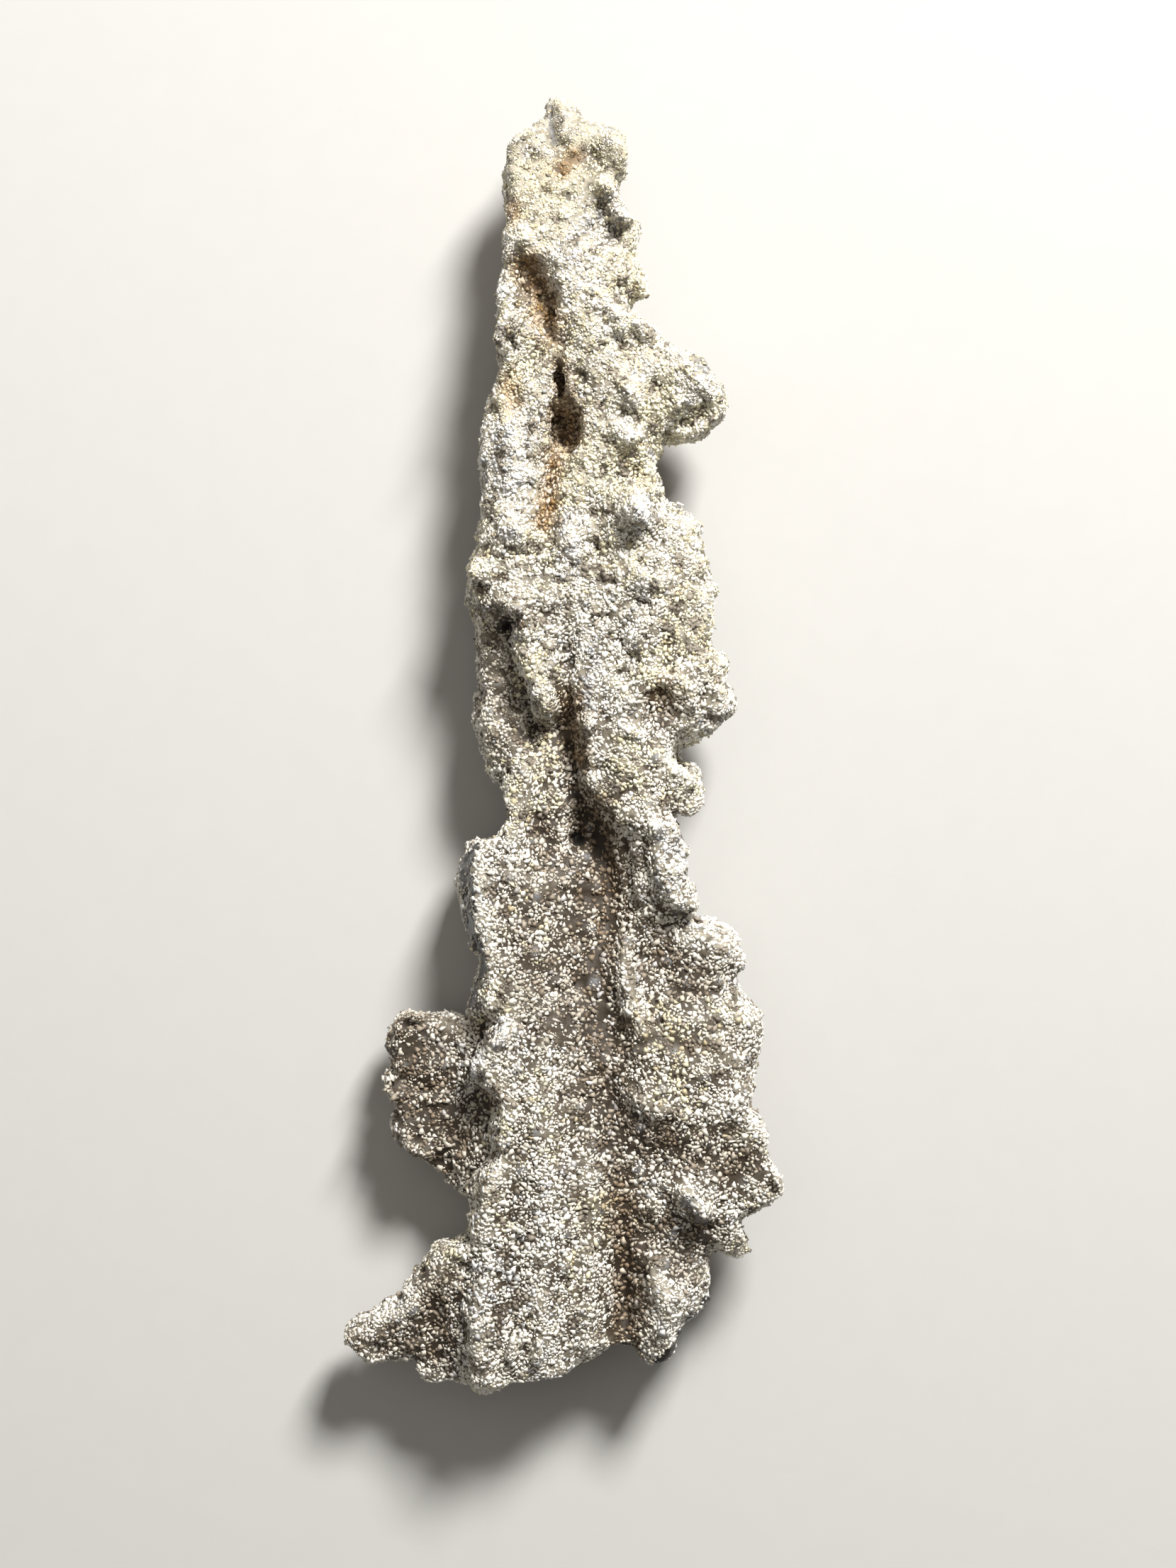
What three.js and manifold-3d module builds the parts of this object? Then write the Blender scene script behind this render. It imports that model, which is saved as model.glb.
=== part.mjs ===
// Sand fulgurite: the fused sand tube that lightning leaves in a dune, collapsed flat, with
// fins, knobs and a long furrow. It is one piece of glass and sand, so it is one mesh.
//
// Millimetres. The specimen lies on its back: +Z points out of its knobbly front, +Y runs
// from its broad broken root to its tip, and the origin is under the middle of its box.
//
// The shape is a field: slabs with a drawn outline, ridges laid on them, knobs and thorns
// grown from them, and pits sunk in them, all melted together. The field is then meshed.
import * as THREE from "three";
import { mergeVertices } from "three/addons/utils/BufferGeometryUtils.js";
import { ImprovedNoise } from "three/addons/math/ImprovedNoise.js";
import Module from "manifold-3d";

// ---- Driving dimensions ---------------------------------------------------------------

const SPACE = { low: [-21, -60, -1.6], high: [21, 60, 18.5] }; // what the mesh grid covers
const CELL = [1.32, 1.44, 2.05]; // the grid's cells: finer in plan than in depth
const MELT = { ridges: 2.4, fins: 1.4, knobs: 0.8, feet: 2, thorns: 0.8, pits: 0.8, hollows: 0.5 };
const SLUMP = 0.35; // how far a knob's top sags towards the root, as a share of its height
const THORN_TIP = 0.22; // radius of a thorn's point
const TIP_REACH = 1.5; // how far a thorn's point may pull the nearest mesh vertex

// Lumps of the fused sand: [wave length, height].
const LUMPS = [
  [8, 0.45],
  [4, 0.45],
];

// ---- The tube -------------------------------------------------------------------------

// Its outline in plan: [x, y], clockwise from the tip.
const OUTLINE = [
  [-0.7, 57.3],
  [0.9, 56.6],
  [2, 55],
  [4.5, 54.6],
  [5.6, 53.5],
  [5.7, 51.8],
  [5.4, 50.4],
  [4.8, 49.4],
  [5.2, 48],
  [6.2, 46.4],
  [6.9, 45.3],
  [6.3, 43.4],
  [7.5, 40.1],
  [5.9, 39],
  [7.8, 37.2],
  [9.8, 34.9],
  [9.6, 29],
  [8.2, 25],
  [8.3, 23.5],
  [9.5, 21.3],
  [11.6, 20.2],
  [12.5, 17.3],
  [13.2, 14.8],
  [13.3, 12.8],
  [13.5, 11.4],
  [13.2, 9.4],
  [14.6, 7],
  [14.3, 5.6],
  [15.2, 3.3],
  [13.3, 1.5],
  [11, 0],
  [10.1, -0.8],
  [12.3, -2.2],
  [12.3, -5.1],
  [11.4, -6],
  [10.1, -5.8],
  [10, -8.4],
  [10.6, -10.5],
  [11.8, -13.8],
  [11.7, -15.4],
  [15.3, -16.5],
  [16.1, -19.5],
  [15.2, -20.3],
  [17, -23.4],
  [17.7, -26],
  [17, -28.4],
  [16.3, -32],
  [18.1, -34.6],
  [17.9, -35.9],
  [19.3, -38.7],
  [17.7, -41.2],
  [15.9, -42.4],
  [16.5, -44.8],
  [15.2, -45.3],
  [13.1, -44.8],
  [12.9, -49],
  [12, -50.5],
  [10.6, -52.2],
  [9.8, -54],
  [8.3, -55],
  [7.2, -55],
  [6.2, -53],
  [4, -53.6],
  [1.6, -55.1],
  [-2, -55.9],
  [-5, -56.3],
  [-6.8, -57.5],
  [-8.9, -56.3],
  [-9.1, -52],
  [-8, -43],
  [-7.9, -38],
  [-6, -34.4],
  [-4.9, -31.6],
  [-8, -29],
  [-5.6, -25.4],
  [-6.6, -22],
  [-7.4, -17.6],
  [-8.2, -13],
  [-8.2, -9.4],
  [-6.2, -8.4],
  [-4.5, -6.8],
  [-5.3, -3.6],
  [-6.7, -1.4],
  [-7.7, 2.3],
  [-7.4, 6.6],
  [-7.6, 11.5],
  [-8.3, 12.9],
  [-8.1, 15],
  [-7.2, 18.6],
  [-7, 25],
  [-6.6, 29],
  [-5.4, 32.6],
  [-5.6, 38],
  [-5, 42.4],
  [-5.1, 49],
  [-4.8, 52],
  [-3.7, 53.8],
  [-1.9, 54.9],
  [-1.4, 56],
];
const RIM_HALF = 2.5; // half the thickness of the tube's rims

// Heights of the middle of its left and right rims: [y, z], from the tip down.
const LEFT_RIM = [
  [57, 8.6],
  [45, 8],
  [20, 7.4],
  [0, 6.6],
  [-20, 7.4],
  [-32, 9],
  [-57, 8.4],
];
const RIGHT_RIM = [
  [57, 8.6],
  [45, 8],
  [10, 7.8],
  [-10, 7.6],
  [-20, 7],
  [-31, 9.4],
  [-41, 9.6],
  [-45, 6.8],
  [-57, 6.4],
];

// Ridges along its front: [x, y, top, radius], from the tip down. The furrow lies between.
const FRONT_RIDGES = [
  [
    [-0.7, 56.6, 9.4, 0.6],
    [-1.1, 54.4, 10.4, 1.2],
    [-1.7, 51.8, 11.8, 2.3],
    [-2.2, 48, 12, 2.7],
    [-2.6, 44.6, 13, 2.4],
    [-4, 40, 12.4, 1.6],
    [-4, 36, 12.8, 1.7],
    [-3.4, 32, 12.2, 2.1],
    [-3.6, 27, 13, 2.8],
    [-3.9, 22, 12.7, 2.9],
    [-4.1, 16, 13.7, 3.1],
    [-3.9, 11, 13.9, 2.3],
    [-3, 7, 13.2, 1.6],
    [-1.7, 3.4, 12.4, 1.4],
    [-2.4, -1, 11.2, 2.1],
    [-3, -5, 11.6, 2.5],
    [-4.4, -10, 13, 3.1],
    [-4.2, -17, 12.4, 3.7],
    [-3.4, -24, 13, 3.9],
    [-3.6, -32, 14.1, 3.5],
    [-4, -40, 13.6, 4.3],
    [-3.8, -47, 13.3, 4.8],
    [-4.4, -53, 11.8, 3.8],
  ],
  [
    [0, 56.4, 9.6, 0.6],
    [1.2, 54.4, 10.4, 1.1],
    [2.4, 51.6, 11.6, 2.3],
    [2.2, 47, 12.4, 2.6],
    [2.6, 42, 12.6, 2.9],
    [3, 37, 13.4, 2.9],
    [4.4, 31, 13.2, 2.5],
    [4.8, 25, 12.5, 2.6],
    [5.6, 19, 13.6, 2.9],
    [5.8, 13, 13.6, 3.5],
    [5.8, 6, 12.9, 3.3],
    [4.6, 1, 13.1, 2.5],
    [5.6, -4, 13.4, 2.5],
    [8, -8, 13, 1.9],
    [9.4, -13.4, 12.4, 1.8],
    [6.6, -18, 11.6, 1.6],
    [6.8, -26, 13, 2.1],
    [9, -31.4, 13.4, 2.7],
    [11.4, -37, 12, 2.3],
    [12.2, -41, 12.6, 1.9],
  ],
  [
    [9, 18.6, 11.4, 2.2],
    [10.4, 12, 11.2, 2.3],
    [11.8, 6, 11.4, 2.1],
    [13, 3, 10.8, 1.7],
  ],
  [
    [12, -18.4, 10.2, 2.1],
    [13.6, -25, 11.8, 2.5],
    [13.2, -31, 12.8, 2.7],
    [16.4, -37.6, 12.2, 1.8],
  ],
  [
    [9.4, -44.6, 10.4, 2.1],
    [9.4, -49, 10, 2.1],
    [8.2, -53.6, 9, 1.1],
  ],
];

// Ridges along its back: [x, y, lowest point, radius].
const BACK_RIDGES = [
  [
    [-0.6, 54.4, 6, 1.2],
    [-1.6, 49, 3.4, 2.2],
    [-2.2, 41, 1.7, 2.6],
    [-1.8, 33, 2.4, 2.4],
    [-3.6, 25, 1.2, 2.9],
    [-3.2, 16, 2, 2.7],
    [-4.4, 9, 1, 2.5],
    [-2, -3, 2.2, 2.1],
    [-3.4, -11, 1.1, 2.8],
    [-5.2, -19, 1.7, 2.6],
    [-3.2, -28, 2.3, 2.6],
    [-5.2, -36, 1.3, 2.9],
    [-4.2, -46, 2, 3.2],
    [-5.6, -54, 3.4, 2.4],
  ],
  [
    [1.2, 53.4, 5.6, 1.4],
    [3.4, 46, 3.4, 2],
    [3, 39, 2.4, 2.3],
    [5.2, 31, 1.3, 2.4],
    [4.8, 23, 2.2, 2.6],
    [8, 15, 1.2, 2.8],
    [7.2, 6, 2, 2.8],
    [8.6, -1, 2.6, 2],
    [5.6, -7, 1.4, 2.4],
    [8.4, -16, 2.2, 2.4],
    [7.6, -24, 1.6, 2.8],
    [10, -33, 1.4, 3],
    [8, -42, 2.4, 2.6],
    [8.2, -50, 3.2, 2],
  ],
  [
    [0.2, 32, 3.4, 1.8],
    [0.4, 27, 2.4, 2.2],
    [1, 20, 3, 2],
    [1, 13, 3.2, 2],
    [3.4, 5, 2.2, 2],
    [1.4, -4, 2.8, 1.9],
    [2.4, -16, 2.6, 2],
    [0.2, -24, 3, 1.8],
  ],
  [
    [12.6, -19, 3.4, 1.8],
    [13.8, -27, 2.6, 2.2],
    [15.6, -36, 4.2, 1.8],
  ],
];

// ---- Fins: flat lobes that stand out from the tube, lower than its front --------------

// outline: [x, y] round the lobe. hub: a point inside it, with the height of its middle
// there. tilt: how the middle rises with x and y. half: half thickness. ribs: wrinkles.
const FINS = {
  upperLobe: {
    outline: [
      [8, 35.8],
      [10.2, 34.5],
      [12, 34.4],
      [13.2, 33.3],
      [14.2, 31.6],
      [14.4, 29.6],
      [13.7, 28],
      [12.4, 27.2],
      [10.6, 26.8],
      [8.4, 27.4],
      [5, 30],
      [5.6, 33.4],
    ],
    hub: [10.4, 30.8, 9.4],
    tilt: [-0.1, 0.05],
    half: 3,
    ribs: 0.2,
  },
  leftLobe: {
    outline: [
      [-8.6, -24.3],
      [-10.9, -24.3],
      [-13.5, -23.6],
      [-14.9, -24.6],
      [-15.8, -25.7],
      [-15.4, -27.8],
      [-16.1, -29.9],
      [-15.1, -31.8],
      [-15.3, -34.2],
      [-14.3, -35.9],
      [-12.1, -37.4],
      [-10.5, -38.7],
      [-9.5, -39.9],
      [-7.8, -40.4],
      [-4, -39],
      [-2, -34],
      [-2, -28],
      [-4.5, -24],
    ],
    hub: [-11, -31.4, 5.8],
    tilt: [0.16, 0.02],
    half: 2,
    ribs: 0.4,
  },
  leftBand: {
    outline: [
      [-6, -7.4],
      [-8.4, -8.8],
      [-8.9, -11],
      [-9.3, -12.6],
      [-9.1, -14.3],
      [-8.5, -16.4],
      [-8.2, -18],
      [-7.5, -20.4],
      [-8.3, -22.6],
      [-8.6, -24.8],
      [-6, -26],
      [-4, -22],
      [-4, -12],
    ],
    hub: [-7, -16, 5.6],
    tilt: [0.2, 0],
    half: 2.6,
    ribs: 0.2,
  },
  rootArm: {
    outline: [
      [-7.6, -43],
      [-9.6, -43.9],
      [-11.2, -44.6],
      [-13, -46.8],
      [-14.2, -49],
      [-16.8, -50.4],
      [-18.9, -51.5],
      [-19.6, -52.5],
      [-18.7, -53.8],
      [-17.6, -54.9],
      [-15.2, -54.6],
      [-13.1, -54.7],
      [-12.7, -56.6],
      [-11, -56.5],
      [-8.4, -56.6],
      [-4, -54],
      [-3, -48],
    ],
    hub: [-12, -51, 7.2],
    tilt: [0.14, 0.06],
    half: 2.5,
    ribs: 0.4,
  },
};
const RIB_WAVE = [0.18, 0.95]; // how the wrinkles' phase turns with x and y, per millimetre

// ---- Knobs, crests and pits -----------------------------------------------------------

// Knobs on the front, where the melt spat outwards: [x, y, radius, height].
const KNOBS = [
  [-3, 52.6, 1.9, 0.9],
  [4.4, 52.5, 1.8, 2.1],
  [3.9, 48.4, 1.3, 1.5],
  [5.1, 46.2, 1.4, 2.4],
  [-3.4, 44.1, 1.5, 1.7],
  [-1.6, 43.7, 1.3, 1.1],
  [6.1, 41.2, 1.3, 1.1],
  [-4.7, 39.4, 1.3, 1.8],
  [-4.6, 36.5, 1.5, 2.4],
  [1.8, 38.6, 1.5, 0.9],
  [5, 36.8, 1.7, 2.3],
  [2.1, 33.2, 1.5, 1.4],
  [5.7, 30.1, 1.6, 2.3],
  [11.2, 31.6, 2.4, 1.8],
  [12.7, 29, 1.6, 1.4],
  [-5.2, 26.8, 1.5, 1],
  [5.9, 26.3, 1.6, 2.2],
  [-5.4, 21.6, 1.4, 1],
  [6.5, 19.6, 2, 3.5],
  [-3.9, 17.8, 1.4, 2.1],
  [0.7, 18.8, 1.3, 1.5],
  [0.9, 16.4, 1.3, 1.5],
  [-6.6, 15.2, 1.4, 1.4],
  [7, 13.9, 2, 2.7],
  [11, 16, 1.5, 1.1],
  [-4, 11.1, 1.5, 2.7],
  [-3.4, 8, 1.3, 1.7],
  [2.1, 8.3, 1.3, 1.4],
  [6.7, 9.5, 1.6, 2.2],
  [-2.4, 4.6, 1.3, 1.8],
  [12.6, 6.6, 1.6, 1.4],
  [2.3, 1.9, 1.3, 1.4],
  [13.4, 3.4, 1.4, 1.4],
  [5.9, 1.2, 1.5, 1.3],
  [3.2, -3, 1.5, 1.3],
  [11.1, -3.8, 1.5, 2.1],
  [6.4, -5.4, 1.6, 1.4],
  [8.6, -7.6, 1.5, 1.9],
  [-7, -9.8, 1.3, 1.5],
  [9.8, -11, 1.5, 2.1],
  [10.5, -14, 1.4, 2.6],
  [-5.4, -14, 1.8, 0.8],
  [13.2, -17.8, 1.5, 1.3],
  [15.2, -19, 1.3, 1.3],
  [6.3, -19.8, 1.3, 1.5],
  [11.8, -23.6, 1.6, 1.3],
  [16.4, -24.6, 1.4, 1.3],
  [7.1, -26.6, 1.5, 2.3],
  [-5.2, -25.8, 1.5, 2.3],
  [-7.2, -28.7, 1.4, 2.1],
  [8.8, -31.2, 1.8, 1.4],
  [15.4, -31.2, 1.5, 1.4],
  [-5.4, -33.4, 1.4, 1.7],
  [16.9, -34.4, 1.3, 1.4],
  [-7.2, -37.2, 1.5, 1.9],
  [18, -38.4, 1.3, 1.1],
  [10.8, -39.2, 1.3, 1.7],
  [12.4, -41, 1.4, 2.3],
  [-6.6, -42.4, 1.5, 1.7],
  [-3.6, -45.2, 1.3, 0.9],
  [7.6, -46.4, 1.3, 1.5],
  [10.2, -48, 1.6, 1.3],
  [-6.4, -48.2, 1.4, 1.3],
  [-6.9, -51.6, 1.4, 1.3],
  [8.6, -52.4, 1.4, 1.4],
  [-6.6, -55.4, 1.4, 1.7],
  [-13.4, -25.4, 1.4, 1.3],
  [-14.6, -30, 1.3, 1.3],
  [-12.6, -34.6, 1.4, 0.9],
  [-13, -49.4, 1.4, 1.3],
  [-17.4, -52.6, 1.5, 1.1],
];

// Crests that join knobs: [x, y, x, y, radius, height].
const CRESTS = [
  [-3.4, 9, -1.8, 2.8, 1.1, 0.9],
  [2.6, -1, 7.8, -7, 1.3, 0.8],
  [5.7, -17.6, 7, -26.4, 1.1, 1],
  [8, -31.2, 15.6, -31.4, 1.7, 0.9],
  [8.8, -8, 10.6, -14.2, 1.3, 0.8],
  [-5.3, -25.6, -7.4, -29, 1.1, 0.8],
  [-7.2, -37, -6.8, -43, 1.2, 0.6],
  [13, -38, 13.4, -43, 1.4, 1],
  [0.7, 19.8, 0.9, 15.6, 0.9, 0.6],
];

// Pits and bowls in the front: [x, y, radius, depth].
const PITS = [
  [-2.8, 41.4, 1.5, 2.4],
  [-2, 39.4, 1.5, 2.6],
  [-1.1, 37.4, 1.1, 1.8],
  [-0.3, 32.2, 1, 1.4],
  [-1.4, 20, 0.9, 0.9],
  [3.2, 17.5, 1, 0.8],
  [-6.3, 7, 2.8, 1.7],
  [-5.8, 2.6, 2, 0.9],
  [0.9, 2.8, 1.2, 1.5],
  [9.3, 4.5, 1.9, 1.5],
  [1.6, -7.8, 1.5, 0.9],
  [4, -12.6, 2, 0.9],
  [5, -16, 1.7, 0.8],
  [9.6, -20.4, 2, 0.8],
  [-6.4, -31.4, 1.3, 0.9],
  [-6.4, -35.4, 1.2, 0.6],
  [6, -38, 2.2, 0.6],
  [5.5, -44, 1.6, 0.8],
  [5.6, -49.4, 1.5, 0.8],
  [7.3, -46.9, 0.8, 0.8],
  [-12, -27.4, 1.6, 0.8],
  [-9.6, -52.6, 1.5, 0.7],
];

// Knobs on the back: [x, y, radius, height].
const BACK_KNOBS = [
  [2.8, 50.4, 1.5, 1.2],
  [-2.4, 46.4, 1.4, 1.3],
  [5, 43, 1.5, 1.1],
  [0.6, 36.4, 1.4, 1.3],
  [5.8, 35, 1.6, 1.4],
  [-4.4, 34, 1.6, 1.1],
  [11, 31, 1.9, 1],
  [2.2, 29.4, 1.5, 1.2],
  [-5.2, 27, 1.4, 0.9],
  [5.6, 24.6, 1.6, 1],
  [-1, 22, 1.6, 1.4],
  [9.6, 19.4, 1.7, 1],
  [-5.4, 18.4, 1.6, 1.3],
  [2.8, 16.8, 1.4, 0.9],
  [11.4, 12, 1.6, 1.4],
  [-1.4, 10.4, 1.5, 1.4],
  [5, 9.6, 1.7, 0.7],
  [-5.8, 3.6, 1.5, 1.4],
  [11.8, 4.6, 1.7, 1.5],
  [5.4, 0.4, 1.5, 1.3],
  [-1.8, -8.6, 1.6, 0.8],
  [9.4, -5, 1.7, 1.4],
  [3.4, -11.2, 1.5, 1],
  [-6.8, -12.6, 1.5, 1.2],
  [-1.4, -16.4, 1.6, 1.3],
  [10.4, -13.2, 1.4, 1.1],
  [13.2, -21.4, 1.7, 1.2],
  [4.6, -21.8, 1.6, 1.2],
  [-5.4, -24.4, 1.7, 1.3],
  [10.8, -26.4, 1.5, 1],
  [0.8, -30.6, 1.6, 1.5],
  [15.4, -31, 1.6, 1.4],
  [-12.8, -29, 1.6, 1.1],
  [-13.2, -34.6, 1.4, 1],
  [5.2, -36.6, 1.6, 1.3],
  [-1, -38.4, 1.5, 1],
  [15.2, -38.6, 1.5, 1.2],
  [3, -44.4, 1.7, 1.4],
  [10.6, -46.2, 1.5, 1],
  [-7.6, -47.4, 1.6, 1.2],
  [-0.6, -51.4, 1.6, 1.3],
  [-13.4, -49.6, 1.5, 1.1],
  [-6.4, -54, 1.5, 1],
];

// Pits in the back: [x, y, radius, depth].
const BACK_PITS = [
  [0.6, 44.6, 1.7, 1.1],
  [1.6, 25.4, 2, 1],
  [-5.8, 12.6, 1.6, 0.8],
  [2, 0.6, 1.6, 0.9],
  [9, -20, 2, 1],
  [1.8, -36, 1.9, 0.9],
  [-1.6, -44.6, 2, 1],
];

// The three back knobs that it rests on, worn flat there: [x, y, z, radius].
const FEET = [
  [-2.2, 40.8, 1.7, 2.6],
  [9.8, -32.6, 1.7, 2.7],
  [-4.6, -42, 1.7, 2.6],
];

// Thorns on the rims: [x, y, z, length, base radius, degrees from +X, lift in degrees].
const THORNS = [
  [6.6, 40.5, 9.4, 1.8, 1, -28, 5],
  [13.8, 3.8, 8.8, 1.7, 1.1, -28, 10],
  [10, -9.1, 9.8, 1.6, 0.8, -8, 12],
  [14.8, -19.2, 8.4, 1.8, 1, -10, 12],
  [16.6, -34.4, 10, 1.9, 1.2, -12, 12],
  [17.6, -37.9, 9.8, 2.2, 1.4, -22, 8],
  [14.6, -42.8, 10, 2.7, 1.5, -46, 8],
  [-6.8, -55.3, 8.8, 1.9, 1.2, -95, 8],
  [6.9, -53.6, 7.8, 1.7, 1, -62, 0],
  [-0.9, 55.2, 9.2, 1.9, 1.2, 84, 4],
];

// ---- Hollows --------------------------------------------------------------------------

// Ellipsoids sunk in the tube: [x, y, z, half width, half length, half depth, turn].
const HOLLOWS = [
  [0.3, 27.7, 12, 1.5, 1.8, 6, 12], // the vent in the furrow
  [-0.2, 31.4, 12, 0.8, 2.2, 4, -8], // the slot above it
  [-1.1, 54.6, 11.4, 0.6, 2.4, 2, -4], // the slit below the tip
  [-2.2, -58.5, 7.6, 4.4, 9, 2, 4], // the mouth of the flattened tube at its root
];

// ---- Field helpers --------------------------------------------------------------------

const { clamp, lerp, degToRad } = THREE.MathUtils;
const noise = new ImprovedNoise();

// A field's value is a distance from the surface in millimetres, negative inside.
// Joining and cutting two fields rounds the corner between them over the given width.
function join(a, b, width) {
  const overlap = Math.max(width - Math.abs(a - b), 0) / width;
  return Math.min(a, b) - (overlap * overlap * width) / 4;
}
const cut = (a, b, width) => -join(-a, b, width);

// The value at a position on a line through rows of [position, value], sorted downwards.
function interpolate(rows, position) {
  const at = clamp(position, rows.at(-1)[0], rows[0][0]);
  const i = Math.max(1, rows.findIndex((row) => row[0] <= at));
  const [[fromPosition, fromValue], [toPosition, toValue]] = [rows[i - 1], rows[i]];
  return lerp(fromValue, toValue, (at - fromPosition) / (toPosition - fromPosition));
}

// How far a point in plan is outside a closed outline, negative inside it.
function outsideBy(outline, x, y) {
  let nearest = Infinity;
  let inside = false;
  outline.forEach(([bx, by], i) => {
    const [ax, ay] = outline.at(i - 1);
    const along = (x - ax) * (bx - ax) + (y - ay) * (by - ay);
    const t = clamp(along / ((bx - ax) ** 2 + (by - ay) ** 2), 0, 1);
    nearest = Math.min(nearest, Math.hypot(x - lerp(ax, bx, t), y - lerp(ay, by, t)));
    if (ay > y !== by > y && x < ax + ((y - ay) * (bx - ax)) / (by - ay)) inside = !inside;
  });
  return inside ? -nearest : nearest;
}

// A slab with a drawn outline and a round edge.
function slab(outline, middle, half, x, y, z) {
  const inward = Math.max(outsideBy(outline, x, y) + half, 0);
  return Math.hypot(inward, z - middle) - half;
}

// A rod with round ends, each of its own radius. Its ends are [x, y, z, radius].
function rod([ax, ay, az, aRadius], [bx, by, bz, bRadius], x, y, z) {
  const along = (x - ax) * (bx - ax) + (y - ay) * (by - ay) + (z - az) * (bz - az);
  const t = clamp(along / ((bx - ax) ** 2 + (by - ay) ** 2 + (bz - az) ** 2), 0, 1);
  const off = Math.hypot(x - lerp(ax, bx, t), y - lerp(ay, by, t), z - lerp(az, bz, t));
  return off - lerp(aRadius, bRadius, t);
}

// A chain of rods. side is 1 where z is the top of each row's ball and -1 where the bottom.
function ridge(rows, side, x, y, z) {
  const balls = rows.map(([bx, by, bz, radius]) => [bx, by, bz - side * radius, radius]);
  return balls
    .slice(1)
    .reduce((least, ball, i) => Math.min(least, rod(balls[i], ball, x, y, z)), Infinity);
}

const ball = ([bx, by, bz, radius], x, y, z) => Math.hypot(x - bx, y - by, z - bz) - radius;

// An ellipsoid, turned about Z.
function ellipsoid([cx, cy, cz, halfWidth, halfLength, halfDepth, turn], x, y, z) {
  const [cos, sin] = [Math.cos(degToRad(turn)), Math.sin(degToRad(turn))];
  const across = ((x - cx) * cos + (y - cy) * sin) / halfWidth;
  const along = ((y - cy) * cos - (x - cx) * sin) / halfLength;
  const share = Math.hypot(across, along, (z - cz) / halfDepth);
  return (share - 1) * Math.min(halfWidth, halfLength, halfDepth);
}

// ---- The fulgurite's field ------------------------------------------------------------

function fin({ outline, hub, tilt, half, ribs }, x, y, z) {
  const wrinkle = ribs * Math.sin(2 * Math.PI * (RIB_WAVE[0] * x + RIB_WAVE[1] * y) * 0.38);
  const middle = hub[2] + tilt[0] * (x - hub[0]) + tilt[1] * (y - hub[1]) + wrinkle;
  return slab(outline, middle, half, x, y, z);
}

// The tube with its ridges and fins, before anything grows on it.
function trunk(x, y, z) {
  const across = clamp((x + 8) / 22, 0, 1);
  const middle = lerp(interpolate(LEFT_RIM, y), interpolate(RIGHT_RIM, y), across);
  let value = slab(OUTLINE, middle, RIM_HALF, x, y, z);
  for (const rows of FRONT_RIDGES) value = join(value, ridge(rows, 1, x, y, z), MELT.ridges);
  for (const rows of BACK_RIDGES) value = join(value, ridge(rows, -1, x, y, z), MELT.ridges);
  for (const lobe of Object.values(FINS)) value = join(value, fin(lobe, x, y, z), MELT.fins);
  return value;
}

// The height at which a line down (side 1) or up (side -1) at a place meets the trunk.
function meets(x, y, side) {
  const middle = 8;
  let outside = side > 0 ? SPACE.high[2] : SPACE.low[2];
  const step = -side * 0.5;
  while (trunk(x, y, outside) > 0 && Math.abs(outside - middle) > 0.6) outside += step;
  return outside - step / 2;
}

const knobBalls = KNOBS.map(([x, y, radius, height]) => [
  x,
  y - SLUMP * height,
  meets(x, y, 1) + height - radius,
  radius,
]);
const backBalls = BACK_KNOBS.map(([x, y, radius, height]) => [
  x,
  y,
  meets(x, y, -1) - height + radius,
  radius,
]);
const crestRods = CRESTS.map(([ax, ay, bx, by, radius, height]) => [
  [ax, ay, meets(ax, ay, 1) + height - radius, radius],
  [bx, by, meets(bx, by, 1) + height - radius, radius],
]);
const pitBall = ([x, y, radius, depth], side) => {
  const curve = (radius ** 2 + depth ** 2) / (2 * depth);
  return [x, y, meets(x, y, side) + side * (curve - depth), curve];
};
const pitBalls = [
  ...PITS.map((pit) => pitBall(pit, 1)),
  ...BACK_PITS.map((pit) => pitBall(pit, -1)),
];
const thornRods = THORNS.map(([x, y, z, length, radius, degrees, lift]) => {
  const [turn, rise] = [degToRad(degrees), degToRad(lift)];
  const reach = length * Math.cos(rise);
  const tip = [x + reach * Math.cos(turn), y + reach * Math.sin(turn), z + length * Math.sin(rise)];
  return [
    [x, y, z, radius],
    [...tip, THORN_TIP],
  ];
});

function lumps(x, y, z) {
  return LUMPS.reduce(
    (sum, [wave, height]) => sum + height * noise.noise(x / wave, y / wave, z / wave),
    0,
  );
}

// The whole fulgurite.
function fulgurite(x, y, z) {
  let value = trunk(x, y, z) + lumps(x, y, z);
  for (const [from, to] of crestRods) value = join(value, rod(from, to, x, y, z), MELT.knobs);
  for (const knob of knobBalls) value = join(value, ball(knob, x, y, z), MELT.knobs);
  for (const knob of backBalls) value = join(value, ball(knob, x, y, z), MELT.knobs);
  for (const foot of FEET) value = join(value, ball(foot, x, y, z), MELT.feet);
  for (const pit of pitBalls) value = cut(value, ball(pit, x, y, z), MELT.pits);
  for (const space of HOLLOWS) value = cut(value, ellipsoid(space, x, y, z), MELT.hollows);
  for (const [from, to] of thornRods) value = join(value, rod(from, to, x, y, z), MELT.thorns);
  return value;
}

// ---- Meshing --------------------------------------------------------------------------

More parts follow.
